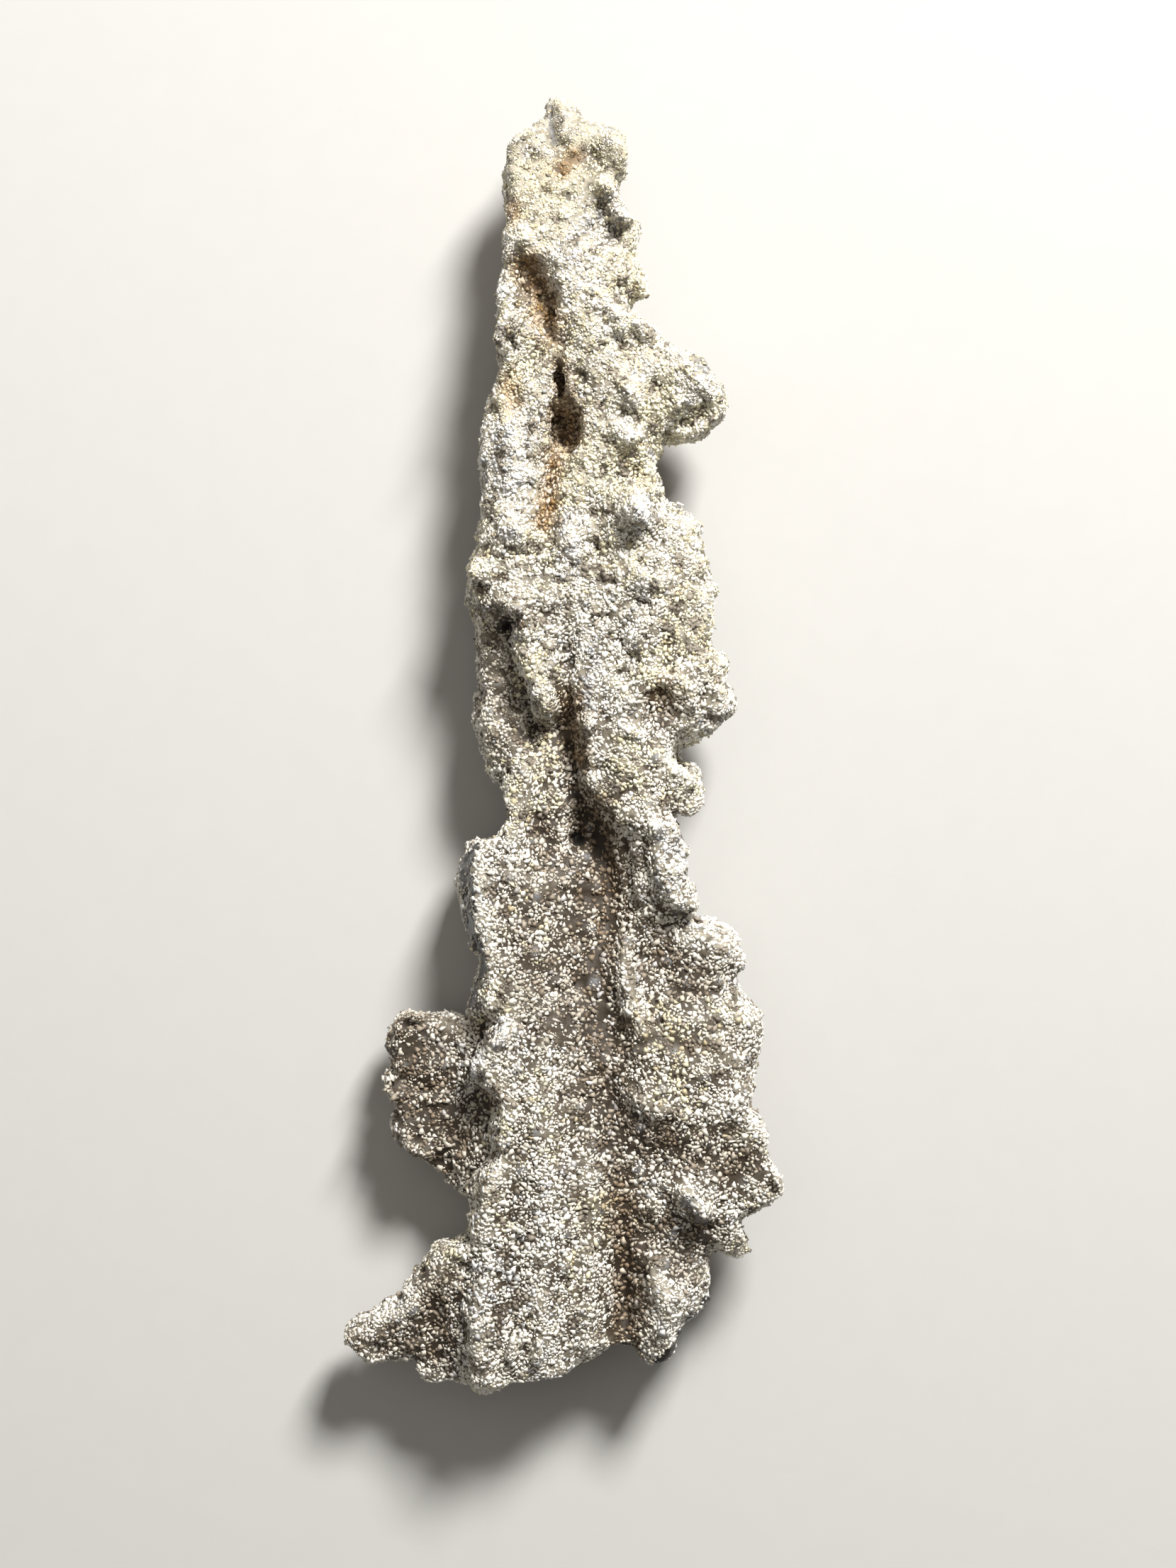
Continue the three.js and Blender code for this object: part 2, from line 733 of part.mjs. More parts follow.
// The surface of a field: one vertex in each grid cell that it passes through, and one
// square across each grid edge that it cuts.
function surface(field) {
  const counts = CELL.map((size, a) => Math.ceil((SPACE.high[a] - SPACE.low[a]) / size) + 1);
  const strides = [1, counts[0], counts[0] * counts[1]];
  const placeOf = (cell) => cell.map((n, a) => SPACE.low[a] + n * CELL[a]);
  const indexOf = (cell) => cell.reduce((sum, n, a) => sum + n * strides[a], 0);
  const values = new Float64Array(counts[0] * counts[1] * counts[2]);
  const cells = [];
  for (let k = 0; k < counts[2]; k += 1)
    for (let j = 0; j < counts[1]; j += 1)
      for (let i = 0; i < counts[0]; i += 1) cells.push([i, j, k]);
  for (const cell of cells) values[indexOf(cell)] = field(...placeOf(cell));
  fillPinches(values, counts, strides);

  const corners = Array.from({ length: 8 }, (_, n) => [n & 1, (n >> 1) & 1, (n >> 2) & 1]);
  const vertexOf = new Map();
  const positions = [];
  for (const cell of cells.filter((at) => at.every((n, a) => n < counts[a] - 1))) {
    const crossings = [];
    for (const corner of corners) {
      for (let a = 0; a < 3; a += 1) {
        if (corner[a] === 1) continue;
        const from = cell.map((n, b) => n + corner[b]);
        const start = values[indexOf(from)];
        const end = values[indexOf(from) + strides[a]];
        if (start < 0 === end < 0) continue;
        const at = placeOf(from);
        at[a] += (CELL[a] * start) / (start - end);
        crossings.push(new THREE.Vector3(...at));
      }
    }
    if (!crossings.length) continue;
    const vertex = new THREE.Vector3();
    crossings.forEach((crossing) => vertex.addScaledVector(crossing, 1 / crossings.length));
    vertexOf.set(indexOf(cell), positions.length / 3);
    positions.push(...settle(field, vertex, placeOf(cell)));
  }

  const faces = [];
  for (const cell of cells) {
    for (let a = 0; a < 3; a += 1) {
      const [b, c] = [(a + 1) % 3, (a + 2) % 3];
      if (cell[a] >= counts[a] - 1 || cell[b] === 0 || cell[c] === 0) continue;
      const at = indexOf(cell);
      const [start, end] = [values[at] < 0, values[at + strides[a]] < 0];
      if (start === end) continue;
      const around = [at, at - strides[b], at - strides[b] - strides[c], at - strides[c]];
      const square = around.map((n) => vertexOf.get(n));
      if (end) square.reverse();
      faces.push(square[0], square[1], square[2], square[0], square[2], square[3]);
    }
  }
  return { positions, faces };
}

// Where two parts of the field meet only along a grid line, fills the corner between them, so
// that no mesh edge is shared by four faces.
function fillPinches(values, counts, strides) {
  const pairs = [
    [0, 1],
    [1, 2],
    [2, 0],
  ];
  const inside = (n) => values[n] < 0;
  for (let found = true; found; ) {
    found = false;
    for (let n = 0; n < values.length; n += 1) {
      const cell = strides.map((stride, a) => Math.floor(n / stride) % counts[a]);
      for (const [a, b] of pairs) {
        if (cell[a] >= counts[a] - 1 || cell[b] >= counts[b] - 1) continue;
        const [right, up, far] = [n + strides[a], n + strides[b], n + strides[a] + strides[b]];
        if (inside(n) !== inside(far) || inside(right) !== inside(up)) continue;
        if (inside(n) === inside(right)) continue;
        values[inside(n) ? right : n] = -0.05;
        found = true;
      }
    }
  }
}

// Moves a vertex onto the surface along the field's slope, but not out of its cell.
function settle(field, vertex, low) {
  const step = 0.05;
  for (let turn = 0; turn < 3; turn += 1) {
    const [x, y, z] = vertex.toArray();
    const value = field(x, y, z);
    const slope = new THREE.Vector3(
      field(x + step, y, z) - value,
      field(x, y + step, z) - value,
      field(x, y, z + step) - value,
    ).divideScalar(step);
    vertex.addScaledVector(slope, -value / Math.max(slope.lengthSq(), 0.3));
    const lowest = new THREE.Vector3(...low);
    const highest = new THREE.Vector3(...CELL).add(lowest);
    vertex.clamp(lowest, highest);
  }
  return vertex.toArray();
}

// Pulls the nearest vertex to each thorn's point, so that the points stay sharp.
function sharpen(positions) {
  for (const [, [tipX, tipY, tipZ]] of thornRods) {
    const tip = new THREE.Vector3(tipX, tipY, tipZ);
    let [nearest, least] = [-1, TIP_REACH];
    for (let i = 0; i < positions.length; i += 3) {
      const away = tip.distanceTo(new THREE.Vector3(...positions.slice(i, i + 3)));
      if (away < least) [nearest, least] = [i, away];
    }
    if (nearest >= 0) positions.splice(nearest, 3, tipX, tipY, tipZ);
  }
}

// ---- Joining and cutting --------------------------------------------------------------

const wasm = await Module();
wasm.setup();

// A geometry as a solid, with only its places kept.
function solid(geometry) {
  const bare = geometry.clone();
  bare.deleteAttribute("normal");
  bare.deleteAttribute("uv");
  const merged = mergeVertices(bare, 1e-4);
  return new wasm.Manifold(
    new wasm.Mesh({
      numProp: 3,
      vertProperties: new Float32Array(merged.attributes.position.array),
      triVerts: new Uint32Array(merged.index.array),
    }),
  );
}

// Everything below the plane that the specimen rests on.
function ground() {
  const [width, length, depth] = [60, 140, 10];
  return new THREE.BoxGeometry(width, length, depth).translate(0, 0, -depth / 2);
}

// The specimen's mesh, cut flat where it rests, with the origin under the middle of its box.
function specimenGeometry() {
  const { positions, faces } = surface(fulgurite);
  sharpen(positions);
  const grown = new THREE.BufferGeometry()
    .setAttribute("position", new THREE.Float32BufferAttribute(positions, 3))
    .setIndex(faces);
  const mesh = solid(grown).subtract(solid(ground())).getMesh();
  const geometry = new THREE.BufferGeometry()
    .setAttribute("position", new THREE.BufferAttribute(mesh.vertProperties, mesh.numProp))
    .setIndex(new THREE.BufferAttribute(mesh.triVerts, 1));
  geometry.computeBoundingBox();
  const middle = geometry.boundingBox.getCenter(new THREE.Vector3());
  return geometry.translate(-middle.x, -middle.y, 0);
}

const material = new THREE.MeshStandardMaterial({
  name: "fused_sand",
  color: 0xb5ad9f,
  roughness: 0.8,
  metalness: 0,
  flatShading: true,
});
const mesh = new THREE.Mesh(specimenGeometry(), material);
mesh.name = "fulgurite";

const specimen = new THREE.Group();
specimen.add(mesh);

export default specimen;
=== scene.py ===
"""A sand fulgurite lying on its back in a plain studio.

Three things are built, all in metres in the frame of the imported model, with
+Y from the root to the tip and +Z up:

* the fused glass body, a finely meshed copy of the solid with its knobs, pits
  and craggy skin worked in;
* the crust of sand grains that are melted into that skin, as joined meshes;
* the studio: a pale floor, soft lights and the camera that looks straight down.
"""

import logging
import math
from dataclasses import dataclass, field
from enum import Enum
from typing import Any, Iterable, Sequence, Union

import bmesh
import bpy
import numpy as np
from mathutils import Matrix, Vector, noise
from mathutils.bvhtree import BVHTree


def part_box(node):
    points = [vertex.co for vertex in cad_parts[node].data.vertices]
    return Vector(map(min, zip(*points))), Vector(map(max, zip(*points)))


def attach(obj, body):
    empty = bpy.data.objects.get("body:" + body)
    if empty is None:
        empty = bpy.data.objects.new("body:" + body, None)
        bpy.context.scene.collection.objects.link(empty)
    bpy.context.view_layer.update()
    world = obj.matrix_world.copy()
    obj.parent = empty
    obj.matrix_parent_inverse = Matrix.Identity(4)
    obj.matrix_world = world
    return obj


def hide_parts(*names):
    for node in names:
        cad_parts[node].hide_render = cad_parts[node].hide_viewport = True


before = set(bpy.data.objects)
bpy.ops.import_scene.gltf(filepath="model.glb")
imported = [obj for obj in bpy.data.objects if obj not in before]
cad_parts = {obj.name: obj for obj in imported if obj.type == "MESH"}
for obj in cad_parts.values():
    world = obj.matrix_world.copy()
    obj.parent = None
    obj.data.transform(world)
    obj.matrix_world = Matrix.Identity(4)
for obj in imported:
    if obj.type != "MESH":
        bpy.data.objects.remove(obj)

LOG = logging.getLogger("fulgurite")

MM = 0.001
BODY = "root"
NODE = "fulgurite"

# The markings of the body that the crust of grains follows, painted shade and highlight among
# them.
CRUST_MARKS = ("glass", "cap", "stain", "deep", "smoke_and_shade", "bald", "warm")

# The marks below are measured in millimetres from a drawing datum in the middle
# of the stem. This is where the frame's origin lies as seen from that datum.
ORIGIN_FROM_DATUM = (0.188, 0.485)

# Below TINY a squared length counts as nothing, below TOUCHING a distance gives no
# direction, and no place is FAR metres away.
TINY = 1e-12
TOUCHING = 1e-9
FAR = 1.0

# How high above the skin, in millimetres, the looks down at it start.
CLEARANCE = 5

# How fast a marking of the upper side fades where the skin turns to the ground.
EDGE_FADE = 3

# The name of every piece's map. The body's has four strips: MAP_MARGIN is how much
# larger than the strips it is, MAP_GAP and MAP_FOOT are the free stretches between and
# below them, and UPRIGHT is how much more sideways than upwards a face of the two side
# strips looks.
MAP = "OFBake"
MAP_MARGIN = 1.03
MAP_GAP = 0.008
MAP_FOOT = 0.01
UPRIGHT = 1.6

# The sockets that a Mix node has for colours: its factor, both colours and the result.
MIX_INPUTS = (0, 6, 7)
MIX_OUTPUT = 2

# The corners of a grain's triangles in its own cell of the map.
MAP_CORNERS = ((0.12, 0.12), (0.88, 0.12), (0.5, 0.88))

Array = np.ndarray
Layer = tuple[float, float, float]
Level = tuple[tuple[float, float, float], ...]
Colour = tuple[float, float, float, float]
Operand = Union["Wire", float]


def metres(x: float, y: float) -> tuple[float, float]:
    """A place on the drawing, given in millimetres from its datum, in the frame."""
    return (x - ORIGIN_FROM_DATUM[0]) * MM, (y - ORIGIN_FROM_DATUM[1]) * MM


def put(name: str, data: bpy.types.ID) -> bpy.types.Object:
    """Makes an object and puts it in the scene.

    Args:
        name: The object's name.
        data: Its mesh, lamp or camera.

    Returns:
        The object.
    """
    made = bpy.data.objects.new(name, data)
    bpy.context.scene.collection.objects.link(made)
    return made


def listed(
    items: bpy.types.bpy_prop_collection, name: str, width: int = 1, kind: type = float
) -> Array:
    """Reads one property of all items into an array.

    Args:
        items: Vertices, edges, faces or another collection of a mesh.
        name: The property.
        width: How many numbers it has.
        kind: The type of those numbers.

    Returns:
        One row to an item, or a flat list where the width is 1.
    """
    values = np.empty(len(items) * width, kind)
    items.foreach_get(name, values)
    return values.reshape(-1, width) if width > 1 else values


def squares(rows: Array) -> Array:
    """The squared length of every row."""
    return np.einsum("ij,ij->i", rows, rows)


def stretches(line: Array) -> Iterable[tuple[Array, Array]]:
    """The ends of each stretch of a line, or its one point twice."""
    return zip(line, line[1:] if len(line) > 1 else line)


def nearest_on(flat: Array, start: Array, end: Array) -> tuple[Array, Array, Array]:
    """Finds the nearest spot on a straight stretch.

    Args:
        flat: Places seen from above, one to a row.
        start: The stretch's start.
        end: Its end.

    Returns:
        For each place, the spot's share of the way from start to end, the step from the
        spot to the place, and the square of that step's length.
    """
    step = end - start
    share = np.clip((flat - start) @ step / max(float(step @ step), TINY), 0, 1)
    gap = flat - start - share[:, None] * step
    return share, gap, squares(gap)


@dataclass(frozen=True)
class Ramp:
    """A share that goes evenly from 0 at its start to 1 over its span."""

    start: float
    span: float

    def over(self, values: Array) -> Array:
        """The share for each value, from 0 to 1."""
        return np.clip((values - self.start) / self.span, 0, 1)


@dataclass(frozen=True)
class Blend:
    """A base plus weighted amounts, held between two limits."""

    base: float
    weights: dict[str, float]
    limits: tuple[float, float] = (0.0, 1.0)

    def of(self, amounts: dict[str, Array], offset: Union[float, Array] = 0.0) -> Array:
        """Adds it up.

        Args:
            amounts: Values under the names that the weights have.
            offset: What is added to the base.

        Returns:
            The sums.
        """
        total = self.base + offset
        for name, weight in self.weights.items():
            total = total + weight * amounts[name]
        return np.clip(total, *self.limits)


# --------------------------------------------------------------------------
# Shader building
# --------------------------------------------------------------------------


class Wire:
    """A shader socket that carries a value, so that sums on it read as Python."""

    def __init__(self, paint: "Paint", socket: bpy.types.NodeSocket) -> None:
        """Wraps one output socket.

        Args:
            paint: The material being made, which new Math nodes go into.
            socket: The output socket.
        """
        self.paint = paint
        self.socket = socket

    def maths(self, operation: str, *operands: Operand) -> "Wire":
        """Adds a Math node that starts with this value.

        Args:
            operation: The Math node's operation.
            operands: Its other inputs.

        Returns:
            The node's result.
        """
        inputs = dict(enumerate((self, *operands)))
        return self.paint.node("ShaderNodeMath", {"operation": operation}, inputs)

    def __add__(self, other: Operand) -> "Wire":
        """This value plus another."""
        return self.maths("ADD", other)

    __radd__ = __add__

    def __mul__(self, other: Operand) -> "Wire":
        """This value times another."""
        return self.maths("MULTIPLY", other)

    def __sub__(self, other: Operand) -> "Wire":
        """This value less another."""
        return self.maths("SUBTRACT", other)

    def clamped(self) -> "Wire":
        """This value held between 0 and 1."""
        return self.maths("MAXIMUM", 0.0).maths("MINIMUM", 1.0)

    def ramped(self, low: float, high: float) -> "Wire":
        """Rises smoothly from 0 at low to 1 at high."""
        return self.paint.node(
            "ShaderNodeMapRange",
            {"interpolation_type": "SMOOTHSTEP"},
            {"Value": self, "From Min": low, "From Max": high},
        )


class Paint:
    """One node material in the making."""

    def __init__(self, name: str) -> None:
        """Starts an empty material with a Principled shader.

        Args:
            name: The material's name.
        """
        self.material = bpy.data.materials.new(name)
        self.material.use_nodes = True
        self.tree = self.material.node_tree
        self.tree.nodes.clear()
        self.shader = self.tree.nodes.new("ShaderNodeBsdfPrincipled")
        output = self.tree.nodes.new("ShaderNodeOutputMaterial")
        self.tree.links.new(self.shader.outputs[0], output.inputs["Surface"])

    def node(
        self,
        kind: str,
        settings: dict[str, Any] | None = None,
        inputs: dict[int | str, Any] | None = None,
        output: int | str = 0,
    ) -> Wire:
        """Adds a node.

        Args:
            kind: The node's type.
            settings: Its properties; "stops" are a ramp's places and colours.
            inputs: Values and links of its sockets, by name or number.
            output: The output that is handed back.

        Returns:
            That output.
        """
        made = self.tree.nodes.new(kind)
        for name, value in (settings or {}).items():
            if name == "stops":
                self._set_stops(made.color_ramp.elements, value)
            else:
                setattr(made, name, value)
        for name, value in (inputs or {}).items():
            self.plug(made.inputs[name], value)
        return Wire(self, made.outputs[output])

    @staticmethod
    def _set_stops(
        elements: bpy.types.bpy_prop_collection, stops: Sequence[tuple[float, Colour]]
    ) -> None:
        """Gives a colour ramp its stops, in rising order.

        Args:
            elements: The ramp's elements.
            stops: Places from 0 to 1, each with its colour.
        """
        while len(elements) < len(stops):
            elements.new(0.5)
        for element, (place, colour) in zip(elements, stops):
            element.position = place
            element.color = colour

    def plug(self, socket: bpy.types.NodeSocket, value: Any) -> None:
        """Links a wire to a socket, or sets the socket's own value."""
        if isinstance(value, Wire):
            self.tree.links.new(value.socket, socket)
        else:
            socket.default_value = value

    def set(self, **inputs: Any) -> None:
        """Sets the shader's sockets, named with _ for a space.

        Args:
            inputs: Values and wires.
        """
        for name, value in inputs.items():
            self.plug(self.shader.inputs[name.replace("_", " ")], value)

    def attribute(self, name: str, output: str = "Fac") -> Wire:
        """The piece's own attribute of that name."""
        return self.node("ShaderNodeAttribute", {"attribute_name": name}, None, output)

    def noise(self, scale_mm: float, detail: float, distortion: float = 0.0) -> Wire:
        """A cloudy pattern on the piece's own coordinates.

        Args:
            scale_mm: The size of its coarsest clouds in millimetres.
            detail: How many finer octaves it has.
            distortion: How much the clouds are swirled.

        Returns:
            The pattern, from 0 to 1 with most of it near 0.5.
        """
        return self.node(
            "ShaderNodeTexNoise",
            {"noise_dimensions": "3D"},
            {
                "Vector": self.node("ShaderNodeTexCoord", output="Object"),
                "Scale": 1.0 / (scale_mm * MM),
                "Detail": detail,
                "Distortion": distortion,
            },
        )

    def mix(self, share: Operand, first: Any, second: Any) -> Wire:
        """Blends two colours.

        Args:
            share: How much of the second shows.
            first: A colour or a wire.
            second: A colour or a wire.

        Returns:
            The blend.
        """
        sockets = dict(zip(MIX_INPUTS, (share, first, second)))
        return self.node("ShaderNodeMix", {"data_type": "RGBA"}, sockets, MIX_OUTPUT)


# --------------------------------------------------------------------------
# Finishes
# --------------------------------------------------------------------------


@dataclass(frozen=True)
class GlassFinish:
    """The fused glass: dull and brown, bare and dark on the tips, painted shade in hollows and
    streaks.
    """

    dull: Colour = (0.076, 0.056, 0.036, 1)
    smoked_glass_and_shade: Colour = (0.045, 0.032, 0.020, 1)
    bare: Colour = (0.190, 0.192, 0.200, 1)
    broken: Colour = (0.030, 0.026, 0.023, 1)
    sooted_and_shaded: Colour = (0.026, 0.017, 0.009, 1)
    rust: Colour = (0.300, 0.170, 0.060, 1)
    dust_thinned_in_shade: Colour = (0.500, 0.455, 0.360, 1)
    dull_roughness: float = 0.62
    bare_roughness: float = 0.30
    uneven_roughness: float = 0.2
    uneven_size: float = 0.8
    cloud_size: float = 2.2
    cloud_edges: tuple[float, float] = (0.38, 0.66)
    dust_size: float = 0.9
    dust_edges: tuple[float, float] = (0.20, 0.60)
    bare_edges: tuple[float, float] = (0.0, 0.7)
    broken_edges: tuple[float, float] = (0.05, 0.4)
    stain_share: float = 0.85
    deep_shade_share: float = 0.7
    smoke_and_shade_share: float = 0.9
    blister_size: float = 0.5
    blister_swirl: float = 0.4
    blister_depth: float = 0.12
    blister_strength: float = 0.7

    def material(self) -> bpy.types.Material:
        """Makes the material, which reads the markings that the body stores."""
        paint = Paint("fused_glass")
        glass = paint.attribute("glass")
        clouds = paint.noise(self.cloud_size, 4).ramped(*self.cloud_edges)
        colour = paint.mix(clouds, self.dull, self.smoked_glass_and_shade)
        specks = paint.noise(self.dust_size, 3).ramped(*self.dust_edges)
        # Pale dust, partly real, thinned in hollows and smoky streaks as painted shade.
        colour = paint.mix((paint.attribute("dust_thinned_in_shade") * specks).clamped(), colour, self.dust_thinned_in_shade)
        # Stains are real; the deep and smoky mixes darken hollows and streaks as painted shade.
        for name, share, shade in (
            ("stain", self.stain_share, self.rust),
            ("deep", self.deep_shade_share, self.smoked_glass_and_shade),
            ("smoke_and_shade", self.smoke_and_shade_share, self.sooted_and_shaded),
        ):
            colour = paint.mix(paint.attribute(name) * share, colour, shade)
        colour = paint.mix(glass.ramped(*self.bare_edges), colour, self.bare)
        fresh = paint.attribute("broken").ramped(*self.broken_edges)
        colour = paint.mix(fresh, colour, self.broken)
        roughness = (
            self.dull_roughness
            + glass * (self.bare_roughness - self.dull_roughness)
            + (paint.noise(self.uneven_size, 2) - 0.5) * self.uneven_roughness
        )
        bump = {
            "Strength": self.blister_strength,
            "Distance": self.blister_depth * MM,
            "Height": paint.noise(self.blister_size, 3, self.blister_swirl),
        }
        paint.set(
            Base_Color=colour,
            Roughness=roughness.clamped(),
            Normal=paint.node("ShaderNodeBump", inputs=bump),
        )
        return paint.material


@dataclass(frozen=True)
class GrainFinish:
    """One kind of sand grain: its darkest, usual and palest shade."""

    name: str
    darkest: Colour
    usual: Colour
    palest: Colour
    usual_at: float = 0.5
    roughness: tuple[float, float] = (0.45, 0.75)
    rust: Colour = (0.46, 0.27, 0.09, 1)
    soot_and_shade: Colour = (0.270, 0.200, 0.135, 1)

    def material(self) -> bpy.types.Material:
        """Makes the material, which reads each grain's shade, stain, and soot with painted shade.
        """
        paint = Paint(self.name)
        channels = {
            name: paint.node(
                "ShaderNodeSeparateColor",
                inputs={"Color": paint.attribute("grain", "Color")},
                output=name,
            )
            for name in ("Red", "Green", "Blue")
        }
        stops = ((0.0, self.darkest), (self.usual_at, self.usual), (1.0, self.palest))
        colour = paint.node("ShaderNodeValToRGB", {"stops": stops}, {"Fac": channels["Red"]})
        colour = paint.mix(channels["Green"], colour, self.rust)
        # The blue channel browns and darkens a grain with soot and with painted shade.
        colour = paint.mix(channels["Blue"], colour, self.soot_and_shade)
        low, high = self.roughness
        paint.set(Base_Color=colour, Roughness=low + channels["Red"] * (high - low))
        return paint.material


class GrainKind(Enum):
    """The kinds of grain in the crust, each with its finish."""

    QUARTZ = GrainFinish(
        "quartz_grain",
        darkest=(0.42, 0.39, 0.33, 1),
        usual=(0.80, 0.77, 0.69, 1),
        palest=(0.95, 0.935, 0.88, 1),
        usual_at=0.4,
    )
    CREAM = GrainFinish(
        "cream_grain",
        darkest=(0.50, 0.42, 0.27, 1),
        usual=(0.81, 0.770, 0.570, 1),
        palest=(0.925, 0.908, 0.785, 1),
    )
    CLEAR = GrainFinish(
        "clear_grain",
        darkest=(0.28, 0.28, 0.285, 1),
        usual=(0.62, 0.625, 0.63, 1),
        palest=(0.91, 0.91, 0.905, 1),
    )
    DUSKY = GrainFinish(
        "dusky_grain",
        darkest=(0.10, 0.085, 0.07, 1),
        usual=(0.27, 0.24, 0.20, 1),
        palest=(0.52, 0.47, 0.40, 1),
    )


@dataclass(frozen=True)
class FloorFinish:
    """The pale floor."""

    colour: Colour = (0.56, 0.555, 0.545, 1)
    roughness: float = 0.85
    mottle_size: float = 3.0
    mottle_edges: tuple[float, float] = (0.2, 0.8)
    mottle_shade: float = 0.985

    def material(self) -> bpy.types.Material:
        """Makes the material, faintly mottled as paper is."""
        paint = Paint("pale_paper")
        shade = paint.noise(self.mottle_size, 3).ramped(*self.mottle_edges)
        darker = tuple(self.mottle_shade * part for part in self.colour[:3]) + (1.0,)
        paint.set(Base_Color=paint.mix(shade, darker, self.colour), Roughness=self.roughness)
        return paint.material


# --------------------------------------------------------------------------
# Marks on the upper side
# --------------------------------------------------------------------------


@dataclass(frozen=True)
class Streak:
    """A patch along a line of places on the upper side, which fades over its reach."""

    line: tuple[tuple[float, float], ...]
    reach: float
    weight: float = 1.0

    def over(self, places: Array) -> Array:
        """How strongly it marks each place.

        Args:
            places: Points in the frame, one to a row.

        Returns:
            A share from 0 to its weight for each.
        """
        nearest = np.full(len(places), np.inf)
        for start, end in stretches(np.array([metres(*spot) for spot in self.line])):
            nearest = np.minimum(nearest, nearest_on(places[:, :2], start, end)[2])
        return self.weight * np.exp(-nearest / (self.reach * MM) ** 2)


@dataclass(frozen=True)
class Knob:
    """A melted knob or thorn on the upper side, which ends in bare glass, partly painted shade."""

    x: float
    y: float
    radius: float
    height: float
    glass: float = 0.6
    lean: tuple[float, float] = (0.0, -0.25)


@dataclass(frozen=True)
class Pit:
    """A burst bubble or hole in the upper side."""

    x: float
    y: float
    radius: float
    depth: float


def marked(streaks: Iterable[Streak], places: Array, facing: Array) -> Array:
    """Joins streaks into one marking of the upper side.

    Args:
        streaks: The streaks.
        places: Points in the frame, one to a row.
        facing: The upward part of the surface's normal at each.

    Returns:
        A share from 0 to 1 for each point.
    """
    clear = np.ones(len(places))
    for streak in streaks:
        clear *= 1 - np.clip(streak.over(places), 0, 1)
    return (1 - clear) * np.clip(facing * EDGE_FADE + 1, 0, 1)


# --------------------------------------------------------------------------
# The fused glass body
# --------------------------------------------------------------------------


class Skin:
    """The vertices of a closed mesh as arrays, with what smoothing needs."""

    def __init__(self, mesh: bpy.types.Mesh) -> None:
        """Reads a mesh.

        Args:
            mesh: The mesh, which is written back by store().
        """
        self.mesh = mesh
        self.places = listed(mesh.vertices, "co", 3)
        edges = listed(mesh.edges, "vertices", 2, np.int64)
        self.first, self.second = edges.T
        ends = np.bincount(edges.ravel(), minlength=len(self.places))
        self.valence = np.maximum(ends, 1)[:, None]

    def blurred(
        self, values: Array, steps: int, share: Union[float, Array] = 0.5
    ) -> Array:
        """Moves every value towards the mean of its neighbours.

        Args:
            values: One row to a vertex.
            steps: How many times.
            share: How far each time, for all or for each vertex.

        Returns:
            The blurred values.
        """
        flat = values.ndim == 1
        now = values[:, None] if flat else values
        if isinstance(share, Array) and share.ndim == 1:
            share = share[:, None]
        for _ in range(steps):
            total = np.column_stack(
                [
                    np.bincount(self.first, part[self.second], len(part))
                    + np.bincount(self.second, part[self.first], len(part))
                    for part in now.T
                ]
            )
            now = now + share * (total / self.valence - now)
        return now[:, 0] if flat else now

    def normals(self) -> Array:
        """The unit normal at each vertex, from the places as they are now."""
        self.store()
        return listed(self.mesh.vertex_normals, "vector", 3)

    def store(self) -> None:
        """Writes the places to the mesh."""
        self.mesh.vertices.foreach_set("co", self.places.ravel())
        self.mesh.update()

    def attribute(self, name: str, values: Array) -> None:
        """Keeps one number for each vertex under that name."""
        made = self.mesh.attributes.new(name, "FLOAT", "POINT")
        made.data.foreach_set("value", values.astype(np.float32))


def turbulence(places: Array, size_mm: float, seed: float) -> Array:
    """Smooth noise at every place.

    Args:
        places: Points in the frame, one to a row.
        size_mm: The size of its lumps in millimetres.
        seed: Shifts the pattern.

    Returns:
        Values from about -1 to 1.
    """
    scaled = places / (size_mm * MM) + seed
    return np.array([noise.noise(Vector(place)) for place in scaled])


def layered(places: Array, layers: Sequence[Layer]) -> Array:
    """Adds up smooth noise.

    Args:
        places: Points in the frame, one to a row.
        layers: Each layer's size in millimetres, seed and weight.

    Returns:
        The sum at every place.
    """
    return sum(weight * turbulence(places, size, seed) for size, seed, weight in layers)




